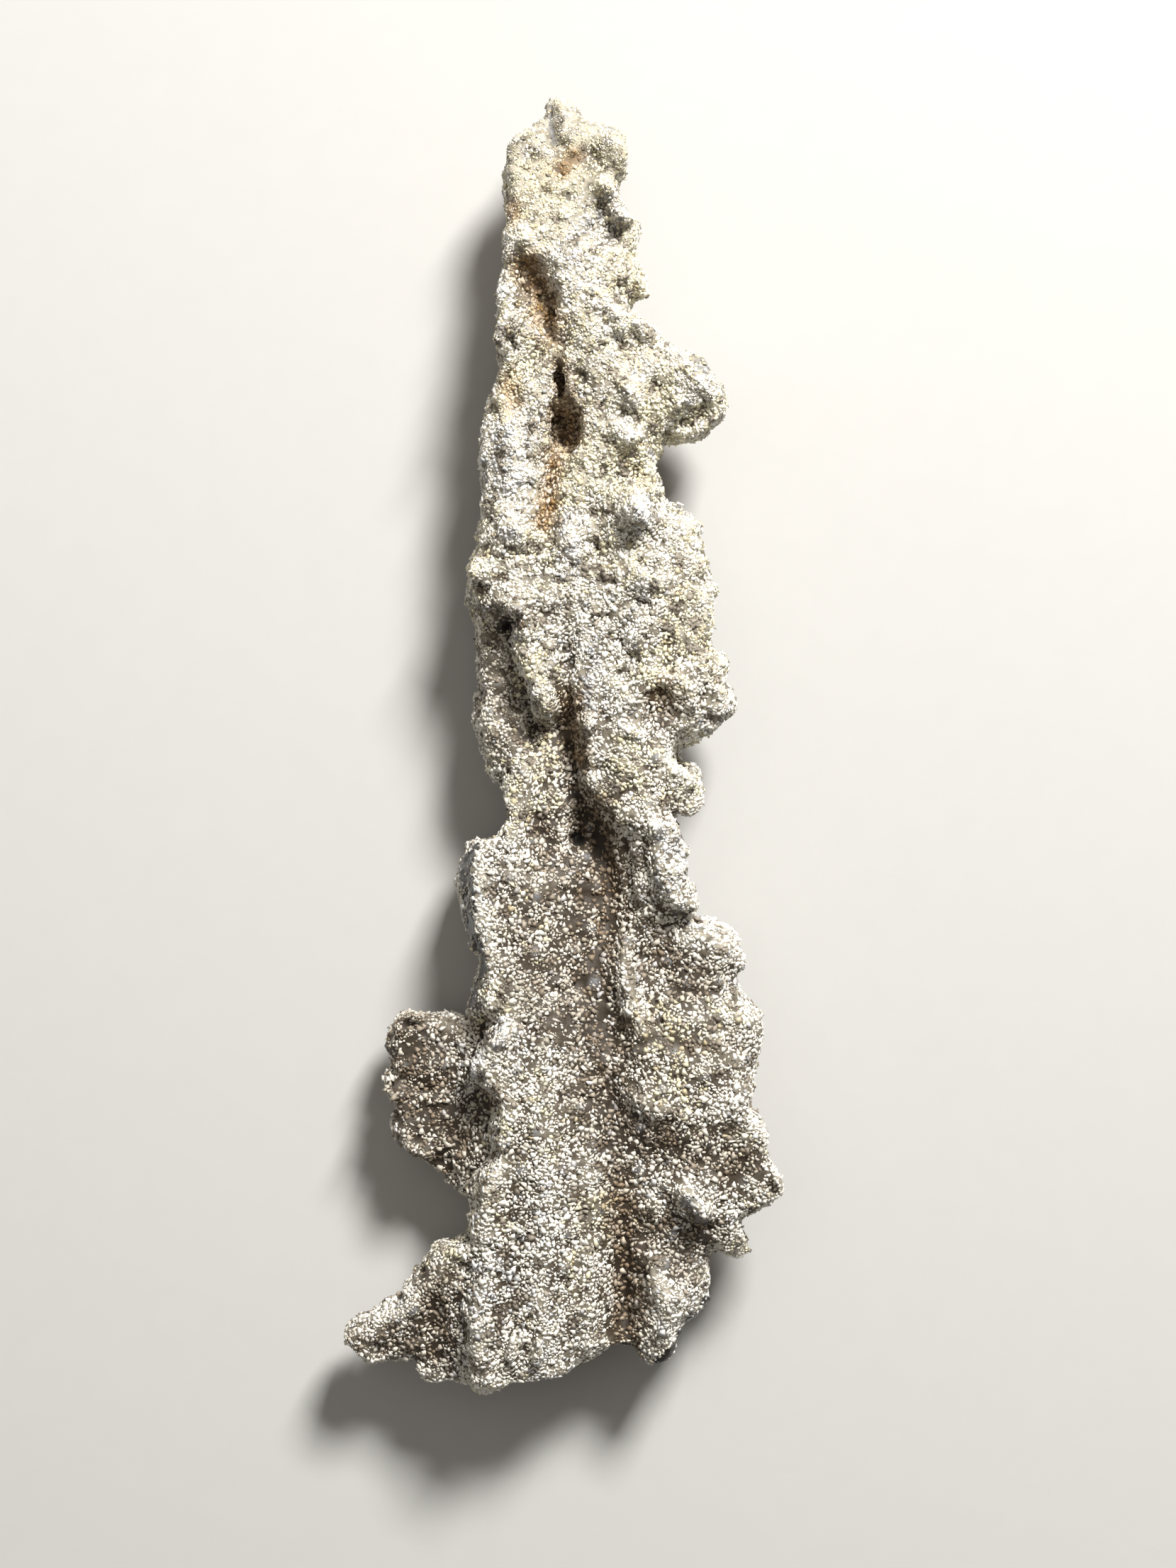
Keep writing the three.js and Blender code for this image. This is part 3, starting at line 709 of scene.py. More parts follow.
@dataclass(frozen=True)
class Relief:
    """Heights along the crests and troughs of the upper side, in drawing millimetres."""

    tip: tuple[Level, ...] = (
        ((-0.6, 57.2, 9.6), (0.0, 55.5, 11.2), (0.3, 53.5, 12.0)),
        ((1.1, 56.3, 10.0), (1.2, 54.6, 11.2)),
        ((-1.05, 56.2, 9.6), (-1.0, 54.6, 10.4), (-0.6, 52.9, 11.2)),
        ((-1.8, 54.7, 10.6), (-1.9, 53.0, 11.6)),
        ((-3.6, 53.0, 11.2), (-4.1, 51.0, 11.6), (-4.0, 48.0, 11.8)),
        ((3.2, 54.1, 11.2), (4.7, 53.2, 12.6), (4.9, 51.6, 12.2)),
        ((2.6, 51.8, 11.4), (3.4, 50.3, 11.6)),
        ((0.8, 51.4, 11.4), (-0.6, 50.8, 11.6)),
        ((-1.5, 49.2, 12.2), (0.2, 49.4, 12.1)),
        ((-3.0, 46.8, 12.5), (0.0, 46.0, 13.0), (1.6, 43.0, 13.4), (1.3, 40.0, 13.8)),
        ((3.4, 49.3, 12.8), (4.0, 48.7, 13.4), (4.6, 47.2, 12.9), (5.1, 46.4, 13.3)),
        ((3.3, 47.2, 12.2), (4.3, 45.0, 11.8)),
        ((5.6, 45.0, 11.6), (6.3, 45.6, 11.6)),
        ((4.3, 43.2, 12.5), (5.8, 41.5, 12.3), (7.2, 40.1, 11.4)),
        ((5.9, 39.3, 10.9), (5.0, 39.6, 12.2)),
    )
    socket: tuple[Level, ...] = (
        ((-4.6, 44.7, 12.2), (-3.2, 44.3, 13.3), (-1.8, 43.8, 13.3), (-0.4, 42.2, 13.4)),
        ((-0.4, 42.2, 13.4), (0.2, 40.0, 13.5), (0.3, 38.0, 13.4), (-0.2, 36.5, 12.9)),
        ((-3.4, 42.2, 11.7), (-2.3, 40.9, 11.1), (-1.2, 39.0, 10.8), (-0.8, 37.5, 11.2)),
        ((-3.7, 41.2, 11.3), (-2.9, 39.4, 11.1), (-2.0, 37.6, 11.3)),
        ((-0.9, 37.5, 11.0), (-1.4, 36.0, 11.8)),
        ((-4.6, 42.2, 12.0), (-4.8, 40.4, 12.9), (-4.6, 38.8, 12.8), (-4.9, 37.0, 13.9)),
        ((-3.7, 38.6, 12.0), (-3.2, 37.2, 12.0), (-3.1, 36.2, 12.2)),
        ((-4.7, 35.3, 11.6), (-3.6, 34.2, 12.0), (-4.6, 32.6, 11.6)),
        ((1.5, 37.5, 13.9), (2.2, 35.0, 13.8), (2.4, 33.0, 13.5)),
        ((3.6, 38.8, 13.6), (4.8, 37.4, 14.2), (6.4, 37.0, 13.4), (8.0, 35.6, 12.4)),
        ((4.7, 35.5, 13.1), (6.2, 34.6, 12.6)),
    )
    ear: tuple[Level, ...] = (
        ((8.9, 34.6, 12.0), (10.8, 33.4, 13.2), (12.2, 31.8, 13.9), (13.2, 30.2, 13.5)),
        ((8.3, 31.6, 12.5), (8.8, 29.4, 12.6), (10.6, 30.2, 13.3)),
        ((12.9, 29.2, 12.0), (11.2, 28.2, 11.8), (9.6, 27.6, 11.4)),
        ((12.2, 33.3, 11.6),),
    )
    neck: tuple[Level, ...] = (
        ((-1.3, 34.2, 12.3), (-1.1, 32.0, 12.5), (-1.6, 29.5, 12.5), (-1.5, 26.4, 12.3)),
        ((0.6, 33.8, 13.0), (0.8, 31.2, 13.0), (1.3, 30.0, 13.0), (2.2, 28.6, 13.0)),
        ((2.2, 28.6, 13.0), (2.2, 27.0, 12.7), (1.2, 25.3, 12.4)),
        ((-0.3, 33.0, 11.7), (-0.2, 31.8, 10.4), (-0.2, 30.8, 10.6)),
        ((-0.4, 30.0, 11.4), (0.7, 30.0, 11.6)),
        ((-0.1, 29.0, 9.6), (0.5, 28.0, 9.2), (0.4, 26.6, 9.8)),
        ((-0.9, 28.9, 9.8), (-0.9, 27.0, 9.8)),
        ((1.3, 29.0, 9.8), (1.6, 27.8, 9.8), (1.1, 26.2, 10.0)),
        ((-4.9, 31.0, 11.7), (-4.6, 28.0, 12.7), (-4.6, 24.0, 13.0), (-4.9, 21.0, 12.8)),
        ((-0.6, 25.2, 11.2), (-0.9, 23.0, 11.2), (-1.2, 21.2, 11.3), (-1.6, 19.2, 11.5)),
        ((-2.3, 23.5, 12.4), (-2.6, 20.5, 12.5)),
        ((0.9, 24.0, 12.4), (0.6, 21.5, 12.5)),
        ((3.2, 24.5, 12.6), (3.2, 21.5, 12.7)),
        ((4.0, 32.0, 13.3), (5.6, 30.9, 14.0), (6.3, 30.5, 13.8)),
        ((6.2, 28.8, 12.8), (4.4, 28.8, 12.9)),
        ((4.8, 27.6, 13.5), (6.1, 27.2, 13.8), (7.0, 27.1, 13.1)),
        ((5.8, 25.0, 12.2), (6.6, 23.8, 11.9), (5.0, 23.8, 12.1)),
        ((6.3, 22.8, 12.6), (6.5, 21.5, 14.6), (6.5, 20.7, 15.4), (6.9, 19.8, 15.0)),
        ((4.7, 18.6, 13.2), (6.6, 17.2, 12.9), (8.6, 18.2, 12.5)),
        ((8.9, 21.0, 10.8), (10.5, 19.4, 11.4), (10.8, 16.5, 11.9)),
    )
    chest: tuple[Level, ...] = (
        ((0.4, 19.4, 13.1), (0.8, 17.6, 13.4), (0.9, 15.6, 12.9)),
        ((-5.2, 19.6, 13.0), (-4.1, 18.8, 13.9), (-3.4, 18.5, 13.5)),
        ((-3.8, 16.8, 12.8), (-2.4, 17.6, 12.5)),
        ((3.0, 18.6, 12.6), (3.2, 17.3, 12.0), (3.6, 15.5, 12.7)),
        ((-7.3, 16.0, 12.2), (-6.6, 15.2, 12.6)),
        ((-2.2, 15.6, 12.6), (-1.2, 13.4, 13.0), (1.2, 13.2, 12.9), (3.4, 13.4, 13.0)),
        ((6.0, 15.4, 13.8), (7.2, 14.8, 14.3), (8.4, 14.0, 13.7)),
        ((6.0, 12.5, 13.1), (7.6, 12.1, 13.0)),
        ((5.8, 11.0, 13.6), (6.9, 10.6, 14.0), (7.8, 10.2, 13.5)),
        ((6.6, 8.6, 13.1),),
        ((10.2, 13.0, 12.1), (10.5, 9.5, 12.2), (10.8, 7.2, 12.6)),
        ((12.6, 13.4, 11.3), (12.6, 10.4, 11.4)),
        ((-7.2, 13.2, 11.6), (-5.7, 12.5, 13.0), (-4.3, 12.0, 14.3), (-3.3, 11.4, 14.2)),
        ((-3.3, 11.4, 14.2), (-3.3, 9.2, 13.6), (-3.3, 7.6, 13.3), (-2.3, 5.6, 13.4)),
        ((-2.3, 5.6, 13.4), (-1.7, 3.8, 13.2), (-1.3, 2.8, 12.6)),
        ((-4.3, 10.6, 11.0), (-5.1, 8.6, 10.5), (-4.5, 6.4, 10.4), (-3.7, 4.4, 10.3)),
        ((-3.3, 4.4, 9.8), (-2.9, 2.2, 9.8), (-1.6, 1.4, 9.6), (-0.4, 1.5, 9.2)),
        ((-7.0, 10.8, 10.2), (-6.9, 7.0, 10.2), (-7.0, 3.0, 10.5), (-6.6, 0.2, 10.4)),
        ((-1.7, 10.8, 13.0), (-0.9, 8.4, 12.8), (-0.7, 5.6, 12.8)),
        ((0.2, 9.6, 12.5), (0.5, 7.2, 12.1), (0.5, 5.2, 11.8), (0.8, 3.2, 11.0)),
        ((0.8, 3.2, 11.0), (0.4, 1.6, 9.9), (0.9, -1.0, 9.8), (1.5, -4.0, 9.6)),
        ((1.9, 10.0, 13.0), (1.8, 6.0, 12.8), (1.8, 3.6, 12.7), (2.4, 1.9, 13.0)),
        ((2.4, 1.9, 13.0), (2.5, 0.0, 12.7), (2.7, -2.4, 12.8), (3.2, -4.0, 12.6)),
        ((3.2, -4.0, 12.6), (4.4, -5.3, 12.8), (5.8, -6.1, 13.3), (7.6, -6.4, 13.7)),
        ((4.4, 9.4, 13.2), (4.6, 5.4, 13.3), (5.4, 1.4, 13.5), (5.8, -2.2, 13.6)),
        ((7.4, 6.2, 13.3), (9.2, 5.7, 13.3), (10.8, 4.8, 13.3), (11.6, 3.2, 12.8)),
        ((7.8, 4.2, 12.6), (8.8, 3.4, 11.8), (9.6, 2.2, 11.7), (9.4, 0.8, 12.1)),
        ((12.8, 7.4, 12.4), (13.6, 4.2, 12.4), (14.2, 3.2, 12.0)),
        ((12.4, 1.8, 11.6), (11.2, 1.0, 11.7)),
        ((8.4, -1.6, 12.8), (10.2, -2.6, 12.6), (11.4, -3.4, 12.2)),
        ((9.2, -4.4, 12.2), (10.6, -5.2, 11.2)),
    )
    valley: tuple[Level, ...] = (
        ((-4.6, -0.5, 10.6), (-3.0, -3.0, 10.9), (-1.0, -3.0, 10.2)),
        ((-4.4, -4.0, 10.8), (-3.6, -6.4, 11.2), (-4.6, -8.0, 11.8)),
        ((1.5, -4.0, 9.6), (2.5, -6.4, 9.2), (3.5, -8.6, 8.9), (4.0, -11.0, 9.1)),
        ((4.0, -11.0, 9.1), (4.4, -13.2, 9.3), (4.5, -15.6, 9.6), (3.7, -18.0, 10.2)),
        ((-1.7, -7.6, 9.9), (-1.5, -9.8, 10.2)),
        ((1.3, -8.4, 8.6),),
        ((0.2, -6.0, 9.9), (0.0, -9.2, 10.4), (1.6, -10.4, 10.0), (2.4, -8.2, 9.2)),
        ((-7.3, -9.6, 12.3), (-7.4, -13.0, 12.5), (-7.0, -16.0, 12.6), (-6.5, -18.8, 12.5)),
        ((-6.5, -18.8, 12.5), (-6.0, -21.0, 12.7), (-6.2, -23.2, 12.9)),
        ((-4.2, -12.0, 12.1), (-1.4, -12.2, 11.5), (1.2, -12.6, 10.6)),
        ((-4.0, -16.4, 12.3), (-1.2, -16.4, 11.5), (1.6, -16.4, 10.5)),
        ((-3.8, -21.0, 12.6), (-1.0, -21.0, 11.7), (1.6, -21.0, 10.7)),
        ((7.9, -7.4, 13.9), (8.3, -9.2, 13.6), (8.6, -11.0, 14.0), (9.2, -12.8, 14.0)),
        ((9.2, -12.8, 14.0), (10.4, -13.5, 13.4)),
        ((6.9, -8.6, 12.6), (7.0, -11.0, 12.4), (7.2, -13.6, 12.1), (7.2, -16.0, 11.4)),
        ((5.6, -8.2, 11.0), (5.7, -11.0, 10.8), (5.9, -14.0, 10.5)),
        ((9.6, -14.8, 11.8), (10.9, -15.0, 11.8), (9.4, -16.4, 10.8)),
        ((5.6, -17.4, 11.5), (5.2, -19.2, 12.3), (5.5, -20.8, 12.6), (6.3, -22.4, 12.9)),
        ((6.3, -22.4, 12.9), (6.9, -24.6, 13.1), (7.4, -27.2, 13.0)),
        ((7.1, -18.6, 10.6), (7.2, -20.6, 11.0), (8.3, -22.6, 11.5), (9.0, -24.8, 12.3)),
        ((4.2, -21.6, 11.3), (4.9, -24.4, 11.5), (5.6, -27.4, 11.7)),
        ((3.4, -20.0, 10.8), (3.8, -23.4, 11.1), (4.4, -26.4, 11.3)),
    )
    wing: tuple[Level, ...] = (
        ((8.3, -18.2, 10.8), (8.4, -20.4, 11.0), (10.4, -21.6, 11.3)),
        ((10.4, -17.6, 11.6), (12.6, -16.8, 12.0), (14.6, -18.2, 12.0)),
        ((12.2, -20.2, 11.4), (14.2, -21.4, 11.6)),
        ((9.0, -24.4, 12.9), (11.6, -25.0, 12.8), (14.6, -24.0, 12.5), (16.2, -24.4, 12.2)),
        ((10.0, -28.0, 13.2), (13.0, -28.4, 13.2), (15.6, -28.0, 12.8)),
        ((5.7, -29.4, 12.2), (6.6, -31.0, 13.2), (8.2, -32.0, 13.7), (10.5, -32.0, 13.5)),
        ((10.5, -32.0, 13.5), (12.6, -32.4, 13.3), (14.6, -32.1, 13.4), (16.1, -32.7, 13.2)),
        ((16.1, -32.7, 13.2), (17.4, -34.2, 12.6)),
        ((5.8, -31.8, 11.9), (7.0, -33.4, 12.3), (8.8, -34.1, 12.7), (11.0, -34.2, 12.9)),
        ((11.0, -34.2, 12.9), (13.4, -34.4, 12.8), (15.6, -35.2, 12.5)),
        ((7.6, -36.6, 11.5), (10.6, -37.0, 12.2), (14.0, -36.8, 12.3), (16.4, -36.6, 12.2)),
        ((14.6, -38.8, 12.0), (17.0, -38.0, 12.2), (18.6, -38.8, 11.6)),
        ((10.3, -38.6, 12.7), (11.2, -39.6, 13.2), (12.6, -41.0, 13.4)),
        ((11.6, -42.6, 11.0), (13.0, -42.7, 11.0)),
        ((14.0, -41.6, 11.8), (15.2, -43.4, 10.8), (16.0, -44.8, 9.8)),
        ((15.4, -40.6, 11.4),),
    )
    foot: tuple[Level, ...] = (
        ((-4.7, -24.6, 13.4), (-5.7, -26.4, 13.9), (-7.2, -28.5, 13.3)),
        ((-6.4, -29.4, 12.9), (-5.0, -30.8, 13.2), (-4.4, -32.4, 13.5), (-5.3, -34.8, 13.4)),
        ((-4.9, -36.2, 13.3), (-6.3, -38.0, 13.6), (-6.9, -40.2, 13.3), (-6.4, -46.4, 13.0)),
        ((-6.4, -46.4, 13.0), (-7.6, -50.6, 13.2), (-7.3, -53.2, 12.9), (-7.0, -56.2, 11.8)),
        ((-2.0, -26.0, 12.8), (-1.7, -33.0, 13.4), (-1.6, -40.0, 13.5), (-1.6, -46.0, 13.2)),
        ((-1.6, -46.0, 13.2), (-1.8, -51.0, 12.8), (-2.0, -54.8, 11.6)),
        ((-4.2, -38.0, 13.1), (-4.2, -44.0, 12.8), (-4.4, -50.0, 12.4), (-4.6, -54.0, 12.0)),
        ((1.6, -26.0, 11.6), (2.0, -32.0, 12.0), (2.0, -38.0, 12.4), (2.2, -45.0, 12.0)),
        ((2.2, -45.0, 12.0), (2.2, -50.0, 11.4), (2.0, -53.6, 10.4)),
        ((4.4, -30.0, 11.0), (4.6, -35.0, 11.2), (5.4, -40.0, 11.0), (5.5, -43.0, 10.2)),
        ((5.5, -43.0, 10.2), (5.6, -47.0, 9.0), (5.7, -50.0, 8.6), (5.6, -52.4, 8.8)),
        ((8.2, -40.6, 11.6), (9.2, -43.0, 10.8), (11.4, -44.4, 10.2)),
        ((7.6, -45.6, 11.2), (8.0, -48.2, 11.6), (9.8, -48.8, 11.8), (9.0, -51.6, 11.2)),
        ((9.0, -51.6, 11.2), (8.0, -54.2, 9.6)),
        ((7.2, -46.8, 10.0),),
        ((11.6, -46.0, 10.2), (11.8, -49.2, 10.0)),
    )
    limbs: tuple[Level, ...] = (
        ((-14.4, -25.0, 8.1), (-11.4, -25.0, 8.3), (-9.0, -25.4, 8.4)),
        ((-14.6, -26.8, 7.9), (-12.0, -26.6, 8.1), (-9.4, -27.2, 8.1)),
        ((-14.8, -28.6, 8.1), (-11.6, -28.6, 8.3), (-9.2, -29.0, 8.3)),
        ((-15.2, -30.2, 7.9), (-12.4, -30.4, 8.0), (-9.6, -30.8, 8.1)),
        ((-14.4, -32.2, 8.0), (-11.6, -32.6, 8.1), (-8.6, -32.8, 8.5)),
        ((-14.6, -34.2, 7.9), (-11.8, -35.0, 8.0), (-9.0, -35.6, 8.2)),
        ((-11.6, -37.0, 7.0), (-9.4, -38.6, 7.2)),
        ((-6.5, -24.5, 10.4), (-7.4, -26.4, 9.6), (-8.7, -28.4, 8.9), (-8.9, -29.4, 8.7)),
        ((-7.4, -30.5, 9.2), (-6.4, -31.8, 9.9), (-6.6, -33.3, 9.9), (-7.1, -34.6, 9.6)),
        ((-7.1, -35.2, 9.6), (-6.7, -36.2, 10.1), (-7.5, -37.3, 9.4), (-8.9, -38.4, 8.7)),
        ((-8.7, -43.8, 11.8), (-9.4, -45.6, 11.2), (-8.7, -47.6, 11.7), (-9.5, -49.2, 10.9)),
        ((-9.5, -49.2, 10.9), (-8.8, -51.2, 11.4), (-9.6, -53.0, 10.4), (-9.1, -55.4, 9.6)),
        ((-10.6, -46.0, 10.6), (-12.2, -48.2, 10.4), (-13.2, -50.0, 10.1)),
        ((-13.2, -50.0, 10.1), (-15.6, -51.0, 9.6), (-18.2, -52.0, 9.0)),
        ((-11.0, -49.6, 9.8), (-11.2, -52.0, 9.4)),
        ((-13.4, -53.4, 9.0), (-16.6, -53.4, 8.7)),
        ((-12.0, -55.2, 8.6), (-10.4, -54.2, 9.4)),
    )

    def heights(self, flat: Array) -> tuple[Array, Array]:
        """The height that the nearest crest or trough gives each place.

        Args:
            flat: Places seen from above, one to a row.

        Returns:
            The heights, and how far off their lines are.
        """
        best = np.full(len(flat), np.inf)
        height = np.zeros(len(flat))
        regions = (
            self.tip, self.socket, self.ear, self.neck, self.chest, self.valley,
            self.wing, self.foot, self.limbs,
        )
        for line in (line for region in regions for line in region):
            ends = np.array([(*metres(x, y), z * MM) for x, y, z in line])
            for start, end in stretches(ends):
                share, _, square = nearest_on(flat, start[:2], end[:2])
                nearer = square < best
                best[nearer] = square[nearer]
                height[nearer] = start[2] + share[nearer] * (end[2] - start[2])
        return height, np.sqrt(best)


def spaced(places: Array, radii: Array, order: Array) -> Array:
    """Takes balls in turn unless one that is taken overlaps it.

    Args:
        places: The balls' centres in the frame, one to a row.
        radii: Their radii.
        order: The numbers of the balls to try, in turn.

    Returns:
        The numbers of those taken.
    """
    cell = 2 * float(radii.max())
    balls = np.column_stack([places, radii]).tolist()
    cells = np.floor(places / cell).astype(np.int64).tolist()
    steps = (-1, 0, 1)
    near = [(i, j, k) for i in steps for j in steps for k in steps]
    shelves: dict[tuple[int, int, int], list[list[float]]] = {}
    taken = []
    for index in order.tolist():
        x, y, z, radius = balls[index]
        u, v, w = cells[index]
        if not any(
            (p - x) ** 2 + (q - y) ** 2 + (r - z) ** 2 < (radius + other) ** 2
            for i, j, k in near
            for p, q, r, other in shelves.get((u + i, v + j, w + k), ())
        ):
            shelves.setdefault((u, v, w), []).append(balls[index])
            taken.append(index)
    return np.array(taken)


@dataclass(frozen=True)
class Rim:
    """The body's outline from above, clockwise from the tip, in drawing millimetres."""

    tip: tuple[tuple[float, float], ...] = (
        (-0.7, 57.5), (0.2, 57.1), (1.2, 56.7), (1.7, 55.8), (2.0, 55.1), (3.2, 54.9),
        (4.6, 54.5), (5.3, 54.0), (5.6, 53.0), (5.7, 52.0), (5.6, 50.8), (5.2, 50.2),
        (4.8, 49.5), (5.0, 48.5), (5.4, 47.4), (6.0, 46.5), (6.7, 46.0), (6.9, 45.3),
        (6.5, 44.5), (6.3, 43.4), (6.7, 42.3), (7.2, 41.0), (7.6, 39.9), (6.9, 39.7),
        (6.1, 39.4), (5.8, 38.8), (6.2, 38.2), (6.9, 37.5), (7.9, 37.1), (8.4, 36.4),
    )
    ear: tuple[tuple[float, float], ...] = (
        (8.8, 35.8), (9.6, 35.1), (10.1, 34.5), (11.3, 34.5), (12.2, 34.2), (12.6, 33.3),
        (13.3, 32.6), (13.9, 31.6), (14.3, 30.5), (14.4, 29.6), (14.2, 28.9), (13.7, 28.4),
        (13.0, 28.0), (12.2, 27.3), (11.2, 27.0), (10.0, 26.9), (9.2, 27.0), (8.8, 26.1),
        (8.2, 25.4), (8.0, 24.6),
    )
    shoulder: tuple[tuple[float, float], ...] = (
        (8.3, 23.8), (8.6, 22.9), (8.9, 22.0), (9.6, 21.3), (10.5, 21.0), (11.3, 20.6),
        (11.8, 19.8), (12.0, 19.0), (12.0, 18.4), (12.4, 17.5), (12.6, 16.5), (13.0, 15.2),
        (13.2, 14.2), (13.8, 13.9), (13.4, 13.2), (13.3, 12.0), (13.3, 11.0), (13.2, 10.0),
        (13.0, 8.9), (13.7, 8.3), (14.2, 8.0), (14.4, 7.2), (14.5, 6.7), (14.2, 5.8),
        (14.6, 5.2), (15.1, 4.2), (15.3, 3.3), (14.9, 2.8), (14.3, 2.4), (13.7, 1.8),
        (13.2, 1.3), (12.4, 0.8), (11.6, 0.2), (10.8, -0.3), (10.1, -0.8), (10.6, -1.5),
        (11.3, -1.9), (12.1, -2.1), (12.3, -2.7), (12.1, -3.4), (12.3, -4.4), (12.2, -5.3),
        (11.8, -6.0), (11.0, -6.0), (10.1, -5.8),
    )
    wing: tuple[tuple[float, float], ...] = (
        (9.9, -7.0), (10.0, -8.1), (10.5, -8.7), (11.2, -9.1), (11.1, -9.8), (10.5, -10.1),
        (10.6, -11.3), (11.1, -12.3), (11.6, -13.2), (11.9, -14.0), (11.7, -14.8),
        (11.8, -15.4), (12.4, -15.6), (13.3, -15.8), (14.2, -16.1), (15.2, -16.6),
        (15.7, -17.2), (15.6, -18.0), (16.0, -18.7), (16.1, -19.4), (15.8, -19.9),
        (14.9, -20.1), (15.4, -21.0), (15.9, -22.0), (16.7, -22.9), (17.3, -23.6),
        (17.5, -24.5), (17.6, -25.6), (17.5, -26.7), (17.1, -27.9), (17.0, -28.8),
        (16.7, -29.8), (16.5, -31.0), (16.4, -32.0), (16.8, -32.7), (17.6, -33.6),
        (18.0, -34.5), (17.8, -35.4), (17.9, -36.0), (18.3, -36.9), (18.8, -37.6),
        (19.2, -38.3), (19.4, -39.0), (18.9, -39.8), (18.1, -40.6), (17.2, -41.2),
        (16.3, -41.7), (15.8, -42.1), (15.8, -42.9), (16.2, -43.8), (16.6, -44.6),
        (16.4, -45.3), (15.6, -45.4), (14.6, -45.2), (13.9, -44.9),
    )
    foot: tuple[tuple[float, float], ...] = (
        (13.1, -44.9), (13.0, -46.0), (12.9, -47.5), (12.8, -49.0), (12.6, -50.0),
        (12.0, -50.8), (11.2, -51.3), (10.5, -52.0), (10.0, -53.2), (9.6, -54.2),
        (8.8, -54.8), (8.0, -55.1), (7.2, -55.0), (6.8, -54.2), (6.6, -53.3), (6.2, -53.0),
        (5.6, -53.3), (5.0, -53.1), (4.0, -53.4), (3.0, -54.2), (2.0, -54.8), (1.0, -55.2),
        (-0.1, -55.6), (-1.5, -55.7), (-2.5, -55.9), (-4.0, -56.1), (-5.0, -56.4),
        (-5.9, -57.0), (-6.5, -57.5), (-7.2, -57.4), (-7.8, -56.9), (-8.5, -56.5),
        (-9.6, -56.4), (-10.6, -56.3), (-11.5, -56.5), (-12.4, -56.6), (-12.8, -55.8),
        (-13.1, -54.9),
    )
    arm: tuple[tuple[float, float], ...] = (
        (-14.0, -54.6), (-15.2, -54.7), (-16.5, -54.7), (-17.7, -54.6), (-18.4, -53.9),
        (-19.0, -53.2), (-19.4, -52.5), (-19.2, -51.9), (-18.4, -51.2), (-17.3, -50.8),
        (-16.2, -50.2), (-15.2, -49.4), (-14.2, -49.0), (-13.9, -48.2), (-13.2, -47.2),
        (-12.5, -46.4), (-11.8, -45.3), (-11.1, -44.4), (-9.9, -44.2), (-8.9, -43.8),
        (-8.1, -43.2), (-8.0, -42.0),
    )
    lobe: tuple[tuple[float, float], ...] = (
        (-7.9, -41.0), (-7.9, -40.2), (-8.3, -39.9), (-9.0, -40.0), (-9.5, -39.7),
        (-10.1, -39.1), (-10.4, -38.3), (-11.2, -38.0), (-11.9, -37.3), (-12.7, -36.8),
        (-13.6, -36.2), (-14.3, -35.6), (-15.0, -34.8), (-15.3, -34.0), (-15.0, -33.0),
        (-15.1, -31.9), (-15.4, -31.0), (-16.0, -30.3), (-15.9, -29.8), (-15.4, -28.9),
        (-15.3, -28.0), (-15.5, -26.8), (-15.6, -25.7), (-14.8, -25.2), (-15.0, -24.4),
        (-14.3, -24.1), (-13.5, -23.8), (-12.6, -24.1), (-11.5, -24.2), (-10.3, -24.0),
        (-9.5, -24.2), (-8.7, -24.3),
    )
    flank: tuple[tuple[float, float], ...] = (
        (-8.3, -23.5), (-8.0, -22.6), (-7.8, -21.6), (-7.4, -20.6), (-7.1, -19.6),
        (-7.3, -18.7), (-7.9, -18.0), (-8.1, -17.2), (-8.4, -16.3), (-8.7, -15.3),
        (-8.9, -14.3), (-9.3, -13.3), (-9.3, -12.4), (-9.1, -11.2), (-8.7, -10.0),
        (-8.4, -9.0), (-7.7, -8.5), (-7.0, -8.6), (-6.0, -8.4), (-5.2, -7.6), (-5.0, -7.0),
        (-4.3, -6.7), (-4.5, -6.0), (-4.8, -5.0), (-5.1, -4.1), (-5.5, -3.3), (-6.2, -2.8),
        (-6.7, -2.0), (-6.9, -1.0), (-7.2, 0.0), (-7.5, 1.0), (-7.8, 2.2), (-7.6, 3.5),
        (-7.4, 5.0), (-7.4, 6.5), (-7.5, 8.0), (-7.6, 9.5), (-7.6, 11.0), (-8.0, 12.0),
        (-8.4, 12.5), (-8.3, 14.0),
    )
    neck: tuple[tuple[float, float], ...] = (
        (-8.1, 15.2), (-7.9, 16.2), (-7.5, 17.6), (-7.3, 18.8), (-7.1, 20.2), (-6.8, 21.6),
        (-6.9, 22.8), (-7.1, 24.5), (-7.1, 26.0), (-7.0, 27.5), (-6.7, 29.0), (-6.4, 30.4),
        (-5.6, 31.8), (-5.3, 33.0), (-5.4, 34.5), (-5.6, 36.0), (-5.5, 37.5), (-5.55, 38.8),
        (-5.6, 40.0), (-5.3, 41.2), (-5.0, 42.0), (-5.0, 43.0), (-5.1, 44.0), (-5.0, 45.0),
        (-4.8, 46.0), (-4.85, 47.0), (-4.9, 48.0), (-5.15, 49.0), (-5.0, 50.0),
        (-4.95, 51.0), (-4.8, 52.4), (-4.1, 53.4), (-3.2, 54.3), (-2.3, 54.8), (-1.5, 55.3),
        (-1.35, 56.0), (-1.2, 56.9),
    )

    def points(self) -> Array:
        """The whole outline in the frame, one point to a row."""
        runs = (
            self.tip, self.ear, self.shoulder, self.wing, self.foot, self.arm,
            self.lobe, self.flank, self.neck,
        )
        return np.array([metres(*spot) for run in runs for spot in run])

